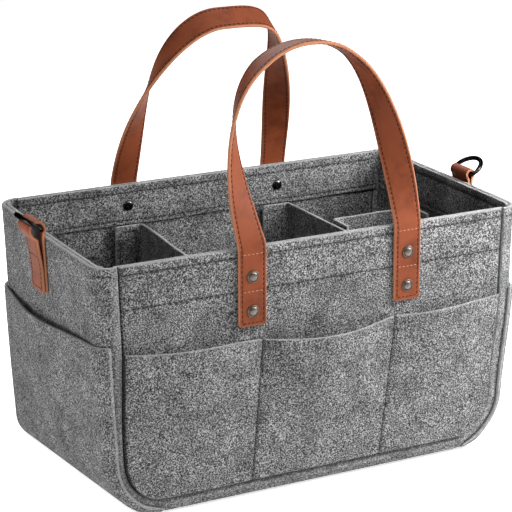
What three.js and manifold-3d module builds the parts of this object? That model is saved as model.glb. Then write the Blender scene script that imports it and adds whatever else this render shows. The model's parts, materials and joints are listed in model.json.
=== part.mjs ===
// Felt nursery caddy with leather strap handles, ring tabs, outer pockets and movable dividers.
// Millimetres, +Z up, the front faces -Y, the origin is under the middle of the base.
import * as THREE from "three";
import { mergeVertices } from "three/addons/utils/BufferGeometryUtils.js";
import Module from "manifold-3d";

const wasm = await Module();
wasm.setup();

// Felt body, outside sizes
const rimLength = 383;
const baseLength = 372;
const depth = 220;
const height = 216;
const felt = 4;
const edgeRadius = 12;
const seamLip = 2.5;
const leftFrontRadius = 53;
const leftBackRadius = 20;
const rightFrontRadius = 50;
const rightBackRadius = 50;
const leftBow = 1.5;
const rightBow = 0.5;
const leftFrontSpread = 4;
const leftBackSpread = 5;
const rightFrontSpread = 1;
const rightBackSpread = 0;
const gap = 0.3;

// Facing round the inside of the rim
const facingFelt = 3;
const facingHeight = 36.5;

// Front and back pockets: one layer with two stitch lines
const pocketFelt = 3;
const pocketDrop = 77;
const pouchStart = 28;
const pouchDepths = [9, 15, 9];
const stitchTops = [-53, 70];
const stitchFeet = [-63, 57];

// Side pockets
const sidePocketDrop = 74;
const sidePouchDepth = 9;
const sidePocketTurn = 40;

// Leather handles
const strapWidth = 25;
const strapThickness = 3.2;
const hingeLift = 1;

// Front handle: the left leg is fuller, so the crown leans over that way
const frontShift = 9;
const frontSpacing = 143;
const frontRise = 156;
const frontLeftLeg = { flare: 25.5, reach: 127, crown: 35 };
const frontRightLeg = { flare: -5, reach: 95.5, crown: 61.5 };
const frontSway = -8;
const frontLean = 11.5;
const frontTurn = 96;
const frontTurnLength = 152;
const frontStrapDrop = 65;
const frontRivetDrops = [23, 52];

// Back handle: a narrower arch, riveted nearer the rim
const backShift = -2.5;
const backSpacing = 148;
const backRise = 158;
const backLeftLeg = { flare: -1.5, reach: 112, crown: 33.5 };
const backRightLeg = { flare: -14.5, reach: 160.5, crown: 62 };
const backSway = -4.5;
const backLean = 20;
const backTurn = 105;
const backTurnLength = 181;
const backStrapDrop = 62;
const backRivetDrops = [19, 49];

// Rivets
const postRadius = 1.6;
const capRadius = 5;
const capHeight = 2;
const backRadius = 4.6;
const backHeight = 2;

// Ring tabs and D-rings
const tabWidth = 26;
const tabLeather = 2.6;
const tabDrop = 48.5;
const tabRise = 7;
const wireRadius = 1.6;
const ringDepth = 18.6;
const ringCorner = 3.5;
const leftRingLean = 40;
const rightRingLean = 34;
const leftTabY = -1;
const rightTabY = -15;

// Dividers, hook tape and base board
const dividerFelt = 3;
const flapLength = 26;
const foldRadius = 3;
const tapeThickness = 3.3;
const tapeWidth = 20;
const tapeFoot = 45;
const tapeDrop = 72;
const leftDividerX = -66.5;
const rightDividerX = 87;
const longDividerY = 35.5;
const boardThickness = 4;
const footClearance = 2;
const boardClearance = 1;

// Everything below follows from the sizes above.
const front = -1;
const back = 1;
const left = {
  sign: -1,
  frontRadius: leftFrontRadius,
  backRadius: leftBackRadius,
  bow: leftBow,
  frontSpread: leftFrontSpread,
  backSpread: leftBackSpread,
  tabY: leftTabY,
  ringLean: leftRingLean,
};
const right = {
  sign: 1,
  frontRadius: rightFrontRadius,
  backRadius: rightBackRadius,
  bow: rightBow,
  frontSpread: rightFrontSpread,
  backSpread: rightBackSpread,
  tabY: rightTabY,
  ringLean: rightRingLean,
};
const frontHandle = {
  shift: frontShift,
  spacing: frontSpacing,
  rise: frontRise,
  leftLeg: frontLeftLeg,
  rightLeg: frontRightLeg,
  sway: frontSway,
  lean: frontLean,
  turn: frontTurn,
  turnLength: frontTurnLength,
  strapDrop: frontStrapDrop,
  rivetDrops: frontRivetDrops,
};
const backHandle = {
  shift: backShift,
  spacing: backSpacing,
  rise: backRise,
  leftLeg: backLeftLeg,
  rightLeg: backRightLeg,
  sway: backSway,
  lean: backLean,
  turn: backTurn,
  turnLength: backTurnLength,
  strapDrop: backStrapDrop,
  rivetDrops: backRivetDrops,
};
const handleOf = (face) => (face === front ? frontHandle : backHandle);
const flatDepth = depth / 2 - edgeRadius;
const seamInset = edgeRadius + seamLip + gap;
const innerFace = depth / 2 - felt;
const standOff = tapeThickness + 2 * gap;
const floorTop = felt + gap + boardThickness + gap;
const pocketTop = height - pocketDrop;
const sidePocketTop = height - sidePocketDrop;
const dividerTop = height - facingHeight;
const tapeTop = height - tapeDrop;

const materials = {
  felt: new THREE.MeshStandardMaterial({ color: 0x8c8c90, roughness: 1, metalness: 0 }),
  liner: new THREE.MeshStandardMaterial({ color: 0x77777b, roughness: 1, metalness: 0 }),
  leather: new THREE.MeshStandardMaterial({ color: 0x9c5530, roughness: 0.55, metalness: 0 }),
  metal: new THREE.MeshStandardMaterial({ color: 0x4a4a4e, roughness: 0.3, metalness: 1 }),
  tape: new THREE.MeshStandardMaterial({ color: 0x26262a, roughness: 0.9, metalness: 0 }),
  board: new THREE.MeshStandardMaterial({ color: 0x6d6d72, roughness: 1, metalness: 0 }),
};

const caddy = new THREE.Group();
caddy.name = "caddy";

function addNode(name, geometry, material) {
  const mesh = new THREE.Mesh(geometry, materials[material].clone());
  mesh.name = name;
  caddy.add(mesh);
}

const steps = (count) => Array.from({ length: count + 1 }, (_, i) => i / count);
const mix = (a, b, t) => a + (b - a) * t;
const radians = THREE.MathUtils.degToRad;

function smooth(t) {
  const k = THREE.MathUtils.clamp(t, 0, 1);
  return k * k * (3 - 2 * k);
}

// A closed body from rings of points: each ring joins the next, and both ends are capped.
function loft(rings) {
  const count = rings[0].length;
  const positions = rings.flat().flatMap((p) => [p.x, p.y, p.z]);
  const index = [];
  for (let r = 0; r + 1 < rings.length; r += 1) {
    for (let i = 0; i < count; i += 1) {
      const a = r * count + i;
      const b = r * count + ((i + 1) % count);
      index.push(a, b, a + count, b, b + count, a + count);
    }
  }
  return closeEnds(positions, index, rings);
}

// Caps a loft with strips across each end ring, which is made of two facing rows of points.
function closeEnds(positions, index, rings) {
  const count = rings[0].length;
  const last = (rings.length - 1) * count;
  for (let i = 0; i + 1 < count / 2; i += 1) {
    const j = count - 1 - i;
    index.push(i, j, i + 1, i + 1, j, j - 1);
    index.push(last + i, last + i + 1, last + j, last + i + 1, last + j - 1, last + j);
  }
  const geometry = new THREE.BufferGeometry();
  geometry.setAttribute("position", new THREE.Float32BufferAttribute(positions, 3));
  geometry.setIndex(signedVolume(positions, index) < 0 ? index.reverse() : index);
  geometry.computeVertexNormals();
  return geometry;
}

function signedVolume(positions, index) {
  const corner = (k) => new THREE.Vector3().fromArray(positions, 3 * index[k]);
  let sum = 0;
  for (let k = 0; k < index.length; k += 3) {
    sum += corner(k).dot(corner(k + 1).cross(corner(k + 2)));
  }
  return sum / 6;
}

// A sheet of even thickness: rows of points on its outside and the same rows on its inside.
function sheet(outside, inside) {
  return loft(outside.map((row, r) => [...row, ...inside[r].slice().reverse()]));
}

// How far back a depth lies between the turned edges: 0 at the front one, 1 at the back one.
const backShare = (y) => (1 + THREE.MathUtils.clamp(y / flatDepth, -1, 1)) / 2;

// A side at one depth: the round of its bottom corner changes from the front to the back.
function sideAt(side, y) {
  return { ...side, radius: mix(side.frontRadius, side.backRadius, backShare(y)) };
}

// Stations along the gusset's outside line, in the X-Z plane, each with its outward normal.
function wallStation(side, z) {
  const slope = (rimLength - baseLength) / 2 / (height - side.radius);
  const run = Math.hypot(1, slope);
  const x = side.sign * (baseLength / 2 + slope * (z - side.radius));
  const rise = (z - side.radius) / (height - side.radius);
  return { side, x, z, rise, nx: side.sign / run, nz: -slope / run };
}

function cornerStation(side, angle) {
  const across = Math.sin(angle);
  const down = Math.cos(angle);
  const x = side.sign * (baseLength / 2 - side.radius * (1 - across));
  return { side, x, z: side.radius * (1 - down), rise: 0, nx: side.sign * across, nz: -down };
}

function sideStations(whole, y, foot, top, cornerSteps, wallSteps) {
  const side = sideAt(whole, y);
  const corner = steps(cornerSteps).map((t) => cornerStation(side, mix(foot, Math.PI / 2, t)));
  const wall = steps(wallSteps).slice(1).map((t) => wallStation(side, mix(side.radius, top, t)));
  return [...corner, ...wall];
}

// The side walls bow out between the turned edges and spread at both corners, most at the rim.
function bowAt({ side, rise }, y) {
  const share = backShare(y);
  const bow = side.bow * Math.sin(Math.PI * share) ** 2;
  return rise * (bow + mix(side.frontSpread, side.backSpread, smooth(share)));
}

// Point at a depth below the gusset's outside face. A held point stays on the seam.
function skinPoint(station, y, inset, held = false) {
  const out = (held ? 0 : bowAt(station, y)) - inset;
  return new THREE.Vector3(station.x + station.nx * out, y, station.z + station.nz * out);
}

// X of the seam line, a given way in from the gusset's outside, at height z.
function seamX(side, z, inset) {
  if (z >= side.radius) return wallStation(side, z).x - side.sign * inset;
  const reach = Math.max((side.radius - inset) ** 2 - (side.radius - z) ** 2, 0);
  return side.sign * (baseLength / 2 - side.radius + Math.sqrt(reach));
}

// Across the gusset: lip, turned edge, flat, turned edge, lip.
function gussetSection(skin) {
  const radius = edgeRadius - skin;
  const turn = steps(4).map((t) => ({
    y: -flatDepth - radius * Math.cos((t * Math.PI) / 2),
    inset: edgeRadius - radius * Math.sin((t * Math.PI) / 2),
  }));
  const edge = [{ y: -flatDepth - radius, inset: edgeRadius + seamLip, held: true }, ...turn];
  const flat = steps(10).slice(1, -1).map((t) => ({ y: mix(-flatDepth, flatDepth, t), inset: skin }));
  const mirrored = edge.map((point) => ({ ...point, y: -point.y })).reverse();
  return [...edge, ...flat, ...mirrored];
}

function gusset() {
  const line = (y) => [
    ...sideStations(left, y, 0, height, 7, 6).reverse(),
    ...sideStations(right, y, 0, height, 7, 6),
  ];
  const face = (skin) => rowsOf(gussetSection(skin).map(({ y, inset, held }) =>
    line(y).map((station) => levelRim(skinPoint(station, y, inset, held), station)),
  ));
  return sheet(face(0), face(felt));
}

// Turns columns of points into rows.
const rowsOf = (columns) => columns[0].map((_, i) => columns.map((column) => column[i]));

// Keeps the top edge of a wall piece on the level of its station.
function levelRim(point, station) {
  if (station.rise >= 1) point.z = station.z;
  return point;
}

// Extrudes a shape drawn in X-Z from y = from to y = to.
function slab(shape, from, to) {
  const geometry = new THREE.ExtrudeGeometry(shape, {
    depth: Math.abs(to - from),
    bevelEnabled: false,
    curveSegments: 4,
  });
  geometry.rotateX(Math.PI / 2);
  geometry.translate(0, Math.max(from, to), 0);
  return geometry;
}

function rectangle(x0, x1, z0, z1) {
  return new THREE.Shape([
    new THREE.Vector2(x0, z0),
    new THREE.Vector2(x1, z0),
    new THREE.Vector2(x1, z1),
    new THREE.Vector2(x0, z1),
  ]);
}

function pierce(shape, x, z, radius) {
  const hole = new THREE.Path();
  hole.absarc(x, z, radius, 0, 2 * Math.PI, true);
  shape.holes.push(hole);
}

// Where the strap ends and their rivets sit on the front or the back.
const strapX = (face, side) => handleOf(face).shift + (side.sign * handleOf(face).spacing) / 2;
const rivetZ = (drop) => height - drop;

function pierceForRivets(shape, face, drops) {
  for (const side of [left, right]) {
    for (const drop of drops) pierce(shape, strapX(face, side), rivetZ(drop), postRadius + gap);
  }
}

function panel(face) {
  const edge = (side) => [
    ...steps(8).map((t) => side.radius - (side.radius - seamInset) * Math.cos((t * Math.PI) / 2)),
    height,
  ].map((z) => new THREE.Vector2(seamX(side, z, seamInset), z));
  const [leftHere, rightHere] = [left, right].map((side) => sideAt(side, face * innerFace));
  const shape = new THREE.Shape([...edge(rightHere), ...edge(leftHere).reverse()]);
  pierceForRivets(shape, face, handleOf(face).rivetDrops);
  return slab(shape, face * innerFace, (face * depth) / 2);
}

// A pocket layer lies flat along its seams and stitch lines and stands off in a pouch between them.
function frontPocket(face) {
  const rows = steps(12).map((t) => mix(seamInset, pocketTop, t ** 1.5));
  const [leftHere, rightHere] = [left, right].map((side) => sideAt(side, face * innerFace));
  const out = (z, x0, x1, t, pouch) => {
    const open = smooth((z - pouchStart) / (pocketTop - pouchStart));
    const off = depth / 2 + gap + pouchDepths[pouch] * 4 * t * (1 - t) * open;
    return new THREE.Vector3(mix(x0, x1, t), face * off, z);
  };
  const row = (z) => {
    const rise = (z - seamInset) / (pocketTop - seamInset);
    const stitches = stitchFeet.map((foot, i) => mix(foot, stitchTops[i], rise));
    const ends = [seamX(leftHere, z, seamInset), ...stitches, seamX(rightHere, z, seamInset)];
    const pouches = pouchDepths.map((_, p) =>
      steps(8).slice(p ? 1 : 0).map((t) => out(z, ends[p], ends[p + 1], t, p)),
    );
    return pouches.flat();
  };
  const inside = rows.map(row);
  const thick = new THREE.Vector3(0, face * pocketFelt, 0);
  return sheet(inside.map((line) => line.map((p) => p.clone().add(thick))), inside);
}

function sidePocket(side) {
  const foot = radians(sidePocketTurn);
  const face = (skin) => rowsOf(steps(14).map((t) => {
    const y = mix(-flatDepth, flatDepth, t);
    return sideStations(side, y, foot, sidePocketTop, 6, 6).map((station) => {
      const open = smooth((station.z - pouchStart) / (sidePocketTop - pouchStart));
      return skinPoint(station, y, -gap - sidePouchDepth * 4 * t * (1 - t) * open - skin);
    });
  }));
  return sheet(face(pocketFelt), face(0));
}

function longFacing(face) {
  const foot = height - facingHeight;
  const reach = (side) => seamX(sideAt(side, face * innerFace), foot, edgeRadius);
  const shape = rectangle(reach(left), reach(right), foot, height);
  pierceForRivets(shape, face, handleOf(face).rivetDrops.filter((drop) => drop < facingHeight));
  return slab(shape, face * (innerFace - gap), face * (innerFace - gap - facingFelt));
}

function sideFacing(side) {
  const face = (skin) => steps(2).map((rise) => steps(12).map((t) => {
    const y = mix(-flatDepth, flatDepth, t);
    const station = wallStation(sideAt(side, y), mix(height - facingHeight, height, rise));
    const point = skinPoint(station, y, felt + gap + skin);
    point.z = station.z;
    return point;
  }));
  return sheet(face(0), face(facingFelt));
}

// Riveted end of a strap: flat on the panel, rounded at its foot.
function strapEnd(face, side) {
  const x = strapX(face, side);
  const half = strapWidth / 2;
  const foot = height - handleOf(face).strapDrop;
  const round = strapWidth / 8;
  const shape = new THREE.Shape();
  shape.moveTo(x + half, height + hingeLift);
  shape.lineTo(x - half, height + hingeLift);
  shape.lineTo(x - half, foot + round);
  shape.absarc(x - half + round, foot + round, round, Math.PI, 1.5 * Math.PI, false);
  shape.absarc(x + half - round, foot + round, round, 1.5 * Math.PI, 2 * Math.PI, false);
  for (const drop of handleOf(face).rivetDrops) pierce(shape, x, rivetZ(drop), postRadius + gap);
  const inner = depth / 2 + gap;
  return slab(shape, face * inner, face * (inner + strapThickness));
}

// Arch of a handle in its own leaning plane: legs, then a rounded crown.
function archLine({ spacing, rise, leftLeg, rightLeg, sway }) {
  const half = spacing / 2;
  const climb = ({ flare, reach, crown }) =>
    new THREE.CubicBezierCurve(
      new THREE.Vector2(-half, 0),
      new THREE.Vector2(-half - flare, reach),
      new THREE.Vector2(-crown, rise),
      new THREE.Vector2(0, rise),
    ).getSpacedPoints(24);
  const fall = climb(rightLeg).slice(0, -1).reverse().map((p) => new THREE.Vector2(-p.x, p.y));
  return [...climb(leftLeg), ...fall].map((p) => new THREE.Vector2(p.x + sway * smooth(p.y / rise), p.y));
}

// The strap turns a quarter round on its way up each leg, so its flat faces the hand at the crown.
function handleLoop(face) {
  const handle = handleOf(face);
  const lean = radians(handle.lean);
  const up = new THREE.Vector3(0, -face * Math.sin(lean), Math.cos(lean));
  const facing = new THREE.Vector3(0, -Math.cos(lean), -face * Math.sin(lean));
  const along = new THREE.Vector3(1, 0, 0);
  const foot = new THREE.Vector3(
    handle.shift,
    face * (depth / 2 + gap + strapThickness / 2),
    height + hingeLift + gap,
  );
  const line = archLine(handle);
  const lengths = [0];
  for (let i = 1; i < line.length; i += 1) {
    lengths.push(lengths[i - 1] + line[i].distanceTo(line[i - 1]));
  }
  const total = lengths[lengths.length - 1];
  const inPlane = (v) => along.clone().multiplyScalar(v.x).addScaledVector(up, v.y);
  const rings = line.map((p, i) => {
    const before = line[Math.max(i - 1, 0)];
    const after = line[Math.min(i + 1, line.length - 1)];
    const way = i === 0 || i === line.length - 1
      ? new THREE.Vector2(0, i === 0 ? 1 : -1)
      : after.clone().sub(before).normalize();
    const tangent = inPlane(way);
    const inward = inPlane(new THREE.Vector2(way.y, -way.x));
    const walked = Math.min(lengths[i], total - lengths[i]);
    const turn = radians(handle.turn) * smooth(walked / handle.turnLength);
    const flat = facing.clone().multiplyScalar(Math.cos(turn)).addScaledVector(inward, Math.sin(turn));
    const wide = tangent.clone().cross(flat);
    return strapRing(foot.clone().add(inPlane(p)), wide, flat);
  });
  slantFoot(rings[0], rings[1], face);
  slantFoot(rings[rings.length - 1], rings[rings.length - 2], face);
  return loft(rings);
}

// Section of the strap: its edges are eased by a small chamfer.
function strapRing(centre, wide, flat) {
  const w = strapWidth / 2;
  const t = strapThickness / 2;
  const ease = strapThickness / 4;
  const outline = [
    [-w, t - ease], [-w + ease, t], [w - ease, t], [w, t - ease],
    [w, ease - t], [w - ease, -t], [ease - w, -t], [-w, ease - t],
  ];
  return outline.map(([a, b]) => centre.clone().addScaledVector(wide, a).addScaledVector(flat, b));
}

// Cuts the loop's foot at a slant, so that the handle can lean in without touching its riveted end.
function slantFoot(ring, next, face) {
  const outer = face * (depth / 2 + gap + strapThickness);
  ring.forEach((point, i) => {
    const way = next[i].clone().sub(point).normalize();
    const inwards = Math.abs(outer - point.y);
    const lift = height + hingeLift + gap + inwards * Math.tan(radians(40)) - point.z;
    point.addScaledVector(way, lift / way.z);
  });
}

// Cap and post of a rivet, or its button on the inside, turned about the Y axis.
function turned(profile, x, y, z, face) {
  const points = profile.map(([r, h]) => new THREE.Vector2(r, h));
  const geometry = new THREE.LatheGeometry(points, 18);
  if (face === front) geometry.rotateX(Math.PI);
  geometry.translate(x, y, z);
  return geometry;
}

function rivetCap(face, side, drop) {
  const backed = drop < facingHeight ? gap + facingFelt : 0;
  const length = felt + backed + gap + strapThickness + gap;
  const profile = [
    [0, 0], [postRadius, 0], [postRadius, length], [capRadius, length],
    [capRadius, length + capHeight * 0.35], [capRadius * 0.86, length + capHeight * 0.75],
    [capRadius * 0.5, length + capHeight * 0.95], [0, length + capHeight],
  ];
  return turned(profile, strapX(face, side), face * (innerFace - backed), rivetZ(drop), face);
}

function rivetBack(face, side, drop) {
  const backed = drop < facingHeight ? gap + facingFelt : 0;
  const profile = [
    [0, 0], [backRadius * 0.5, backHeight * 0.06], [backRadius * 0.85, backHeight * 0.3],
    [backRadius, backHeight * 0.7], [backRadius, backHeight], [0, backHeight],
  ];
  const y = face * (innerFace - backed - gap - backHeight);
  return turned(profile, strapX(face, side), y, rivetZ(drop), face);
}

// Where the ring tab lies on a side: its point on the rim, up the wall, out of it, and across it.
function tabFrame(side) {
  const at = (y, z) => skinPoint(wallStation(sideAt(side, y), z), y, 0);
  const rim = at(side.tabY, height);
  const up = rim.clone().sub(at(side.tabY, height - tabDrop)).normalize();
  const middle = height - tabDrop / 2;
  const half = tabWidth / 2;
  const along = at(side.tabY + half, middle).sub(at(side.tabY - half, middle));
  const out = along.cross(up).multiplyScalar(side.sign).normalize();
  return { rim, up, out, across: up.clone().cross(out).multiplyScalar(side.sign) };
}

const tubeRadius = wireRadius + gap;
const tabOut = gap + tabLeather;

function tubeCentre({ rim, up, out }) {
  return rim.clone().addScaledVector(up, tabRise).addScaledVector(out, tabOut);
}

// Leather tab: two layers down the wall, closed over the bar of the ring in a tube.
function ringTab(side) {
  const frame = tabFrame(side);
  const outer = tubeRadius + tabLeather;
  const half = Math.asin(tabLeather / outer);
  const shape = new THREE.Shape();
  shape.moveTo(gap, -tabDrop);
  shape.lineTo(gap + 2 * tabLeather, -tabDrop);
  shape.absarc(tabOut, tabRise, outer, half - Math.PI / 2, 1.5 * Math.PI - half, false);
  const hole = new THREE.Path();
  hole.absarc(tabOut, tabRise, tubeRadius, 0, 2 * Math.PI, true);
  shape.holes.push(hole);
  const geometry = new THREE.ExtrudeGeometry(shape, {
    depth: tabWidth,
    bevelEnabled: false,
    curveSegments: 16,
  });
  const way = frame.out.clone().cross(frame.up);
  const basis = new THREE.Matrix4().makeBasis(frame.out, frame.up, way);
  basis.setPosition(frame.rim.clone().addScaledVector(way, -tabWidth / 2));
  return geometry.applyMatrix4(basis);
}

// D-ring: a straight bar in the tab's tube and a rounded bow, one round wire.
function dRing(side) {
  const half = tabWidth / 2 + 2 * gap + wireRadius;
  const bar = half - ringCorner;
  const at = (u, v) => new THREE.Vector3(u, v, 0);
  const bow = ringDepth - ringCorner;
  const ease = 0.5523;
  const path = new THREE.CurvePath();
  path.add(new THREE.LineCurve3(at(0, -bar), at(0, bar)));
  path.add(new THREE.QuadraticBezierCurve3(at(0, bar), at(0, half), at(ringCorner, half)));
  path.add(new THREE.CubicBezierCurve3(
    at(ringCorner, half),
    at(ringCorner + bow * ease, half),
    at(ringDepth, half * ease),
    at(ringDepth, 0),
  ));
  path.add(new THREE.CubicBezierCurve3(
    at(ringDepth, 0),
    at(ringDepth, -half * ease),
    at(ringCorner + bow * ease, -half),
    at(ringCorner, -half),
  ));
  path.add(new THREE.QuadraticBezierCurve3(at(ringCorner, -half), at(0, -half), at(0, -bar)));
  const tube = new THREE.TubeGeometry(path, 48, wireRadius, 8, true);
  const lean = radians(side.ringLean);
  const frame = tabFrame(side);
  const out = frame.out.clone().multiplyScalar(Math.cos(lean)).addScaledVector(frame.up, Math.sin(lean));
  const basis = new THREE.Matrix4().makeBasis(out, frame.across, out.clone().cross(frame.across));
  basis.setPosition(tubeCentre(frame));
  return tube.applyMatrix4(basis);
}

// Plan of a sheet folded twice the same way: flap, web, flap.
function foldedPlan(corners) {
  const way = (i) => corners[i + 1].clone().sub(corners[i]).normalize();
  const line = [{ at: corners[0], out: way(1).negate() }];
  for (const i of [1, 2]) {
    const come = way(i - 1);
    const go = way(i);
    const centre = corners[i].clone().addScaledVector(go, foldRadius).addScaledVector(come, -foldRadius);
    for (const t of steps(4)) {
      const a = (t * Math.PI) / 2;
      const out = come.clone().multiplyScalar(Math.sin(a)).addScaledVector(go, -Math.cos(a));
      line.push({ at: centre.clone().addScaledVector(out, foldRadius), out });
    }
  }
  line.push({ at: corners[3], out: way(1) });
  const offset = (by) => line.map(({ at, out }) => at.clone().addScaledVector(out, by));
  return new THREE.Shape([...offset(dividerFelt / 2), ...offset(-dividerFelt / 2).reverse()]);
}

function divider(corners) {
  const geometry = new THREE.ExtrudeGeometry(foldedPlan(corners), {
    depth: dividerTop - floorTop,
    bevelEnabled: false,
  });
  return geometry.translate(0, 0, floorTop);
}

const flapMiddle = innerFace - standOff - dividerFelt / 2;

function crossDivider(x) {
  return divider([
    new THREE.Vector2(x - flapLength, -flapMiddle),
    new THREE.Vector2(x, -flapMiddle),
    new THREE.Vector2(x, flapMiddle),
    new THREE.Vector2(x - flapLength, flapMiddle),
  ]);
}

const rightWall = sideAt(right, longDividerY);
const longDividerStart = rightDividerX + dividerFelt / 2 + standOff + dividerFelt / 2;
const wallReach = Math.min(seamX(rightWall, tapeFoot, felt), seamX(rightWall, dividerTop, felt));
const longDividerEnd = wallReach - standOff - dividerFelt / 2;

// The long divider is cut round at its foot to clear the gusset's bottom corner.
function longDivider() {
  const y = longDividerY;
  const whole = divider([
    new THREE.Vector2(longDividerStart, y - flapLength),
    new THREE.Vector2(longDividerStart, y),
    new THREE.Vector2(longDividerEnd, y),
    new THREE.Vector2(longDividerEnd, y - flapLength),
  ]);
  const inset = felt + footClearance;
  const { radius } = rightWall;
  const wall = steps(8).map((t) => radius - (radius - inset) * Math.cos((t * Math.PI) / 2));
  const room = new THREE.Shape([
    new THREE.Vector2(0, inset),
    ...wall.map((z) => new THREE.Vector2(seamX(rightWall, z, inset), z)),
    new THREE.Vector2(seamX(rightWall, height, inset), height),
    new THREE.Vector2(0, height),
  ]);
  return geometryOf(solidOf(whole).intersect(solidOf(slab(room, -innerFace, innerFace))));
}

function solidOf(geometry) {
  const bare = geometry.clone();
  bare.deleteAttribute("normal");
  bare.deleteAttribute("uv");
  const merged = mergeVertices(bare, 1e-4);
  return new wasm.Manifold(new wasm.Mesh({
    numProp: 3,
    vertProperties: merged.attributes.position.array,
    triVerts: new Uint32Array(merged.index.array),
  }));
}

function geometryOf(solid) {
  const mesh = solid.getMesh();
  const geometry = new THREE.BufferGeometry();
  geometry.setAttribute("position", new THREE.BufferAttribute(mesh.vertProperties, 3));
  geometry.setIndex(new THREE.BufferAttribute(mesh.triVerts, 1));
  const flat = geometry.toNonIndexed();
  flat.computeVertexNormals();
  return flat;
}

function block(x0, x1, y0, y1, z0, z1) {
  return slab(rectangle(Math.min(x0, x1), Math.max(x0, x1), z0, z1), y0, y1);
}

const tapeInset = (flapLength - tapeWidth) / 2 + dividerFelt / 4;

// Hook tape of a cross divider, between its flap and the front or back panel.
function wallTape(x, face) {
  const start = x - tapeInset;
  const y = face * (innerFace - gap);
  return block(start, start - tapeWidth, y, y - face * tapeThickness, tapeFoot, tapeTop);
}

// Hook tape of the long divider, on the outside of one of its flaps.
function endTape(x, sign) {
  const face = x + sign * (dividerFelt / 2 + gap);
  const start = longDividerY - tapeInset;
  return block(face, face + sign * tapeThickness, start, start - tapeWidth, tapeFoot, tapeTop);
}

function baseBoard() {
  const edge = flatDepth - boardClearance;
  const widest = (side) => Math.max(side.frontRadius, side.backRadius);
  const reach = (side) => side.sign * (baseLength / 2 - widest(side) - boardClearance);
  return block(reach(left), reach(right), -edge, edge, felt + gap, felt + gap + boardThickness);
}

addNode("gusset", gusset(), "felt");
addNode("base_board", baseBoard(), "board");

for (const [name, face] of [["front", front], ["back", back]]) {
  addNode(`${name}_panel`, panel(face), "felt");
  addNode(`${name}_pocket`, frontPocket(face), "felt");
  addNode(`${name}_facing`, longFacing(face), "liner");
  addNode(`${name}_handle_loop`, handleLoop(face), "leather");
  for (const [end, side] of [["left", left], ["right", right]]) {
    addNode(`${name}_handle_${end}_end`, strapEnd(face, side), "leather");
    handleOf(face).rivetDrops.forEach((drop, i) => {
      const rivet = `${name}_${end}_${["upper", "lower"][i]}_rivet`;
      addNode(`${rivet}_cap`, rivetCap(face, side, drop), "metal");
      addNode(`${rivet}_back`, rivetBack(face, side, drop), "metal");
    });
  }
}

for (const [name, side] of [["left", left], ["right", right]]) {
  addNode(`${name}_pocket`, sidePocket(side), "felt");
  addNode(`${name}_facing`, sideFacing(side), "liner");
  addNode(`${name}_ring_tab`, ringTab(side), "leather");
  addNode(`${name}_ring`, dRing(side), "metal");
}

for (const [name, x] of [["left", leftDividerX], ["right", rightDividerX]]) {
  addNode(`${name}_divider`, crossDivider(x), "liner");
  addNode(`${name}_divider_front_tape`, wallTape(x, front), "tape");
  addNode(`${name}_divider_back_tape`, wallTape(x, back), "tape");
}
addNode("long_divider", longDivider(), "liner");
addNode("long_divider_inner_tape", endTape(longDividerStart, -1), "tape");
addNode("long_divider_wall_tape", endTape(longDividerEnd, 1), "tape");

export default caddy;
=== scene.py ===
import json
import math

import bpy
import numpy as np
from mathutils import Matrix, Vector


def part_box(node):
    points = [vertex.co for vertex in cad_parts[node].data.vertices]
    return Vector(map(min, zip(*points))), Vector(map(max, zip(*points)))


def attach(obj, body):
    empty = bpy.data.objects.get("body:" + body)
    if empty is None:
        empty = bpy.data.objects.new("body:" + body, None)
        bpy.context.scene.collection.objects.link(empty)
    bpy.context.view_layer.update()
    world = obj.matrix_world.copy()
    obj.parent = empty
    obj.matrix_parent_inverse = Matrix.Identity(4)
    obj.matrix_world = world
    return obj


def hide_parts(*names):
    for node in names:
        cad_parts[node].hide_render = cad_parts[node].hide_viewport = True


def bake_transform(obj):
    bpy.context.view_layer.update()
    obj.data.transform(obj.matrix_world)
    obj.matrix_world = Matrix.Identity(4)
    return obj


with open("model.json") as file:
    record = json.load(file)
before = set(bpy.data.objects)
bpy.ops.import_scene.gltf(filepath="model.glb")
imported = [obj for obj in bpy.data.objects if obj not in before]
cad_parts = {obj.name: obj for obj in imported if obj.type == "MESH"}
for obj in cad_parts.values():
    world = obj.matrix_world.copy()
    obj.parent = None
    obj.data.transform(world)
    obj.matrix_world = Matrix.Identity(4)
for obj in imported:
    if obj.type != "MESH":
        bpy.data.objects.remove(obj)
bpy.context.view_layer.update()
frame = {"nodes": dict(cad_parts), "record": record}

# Sizes in millimetres, as in the part's source
MM = 0.001
RIM_LENGTH = 383.0
BASE_LENGTH = 372.0
DEPTH = 220.0
HEIGHT = 216.0
FELT = 4.0
EDGE_RADIUS = 12.0
RIM_CURL = 18.0
SEAM_LIP = 2.5
GAP = 0.3
FACING_FELT = 3.0
FACING_HEIGHT = 36.5
POCKET_FELT = 3.0
POCKET_TOP = 139.0
POUCH_START = 28.0
POUCH_DEPTHS = (9.0, 14.0, 9.0)
STITCH_TOPS = (-53.0, 70.0)
STITCH_FEET = (-63.0, 57.0)
SIDE_POCKET_TOP = 142.0
SIDE_POUCH_DEPTH = 4.5
SIDE_POCKET_TURN = math.radians(10)
SIDE_POCKET_WRAP = math.radians(64)
STRAP_WIDTH = 25.0
STRAP_THICKNESS = 3.2
HINGE_LIFT = 1.0
TAB_WIDTH = 26.0
TAB_LEATHER = 2.6
TAB_DROP = 48.5
WIRE_RADIUS = 1.6
RING_DEPTH = 18.6
RING_CORNER = 3.5
DIVIDER_FELT = 3.0
DIVIDER_TOP = HEIGHT - FACING_HEIGHT
FLAP_LENGTH = 26.0
FOLD_RADIUS = 3.0
STAND_OFF = 3.9
LEFT_DIVIDER_X = (-69.5, -64.5)
RIGHT_DIVIDER_X = (89.5, 82.0)
LONG_DIVIDER_START = 93.9
LONG_DIVIDER_Y = 35.5
FLOOR_TOP = 8.6
FLAT_DEPTH = DEPTH / 2 - EDGE_RADIUS
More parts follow.
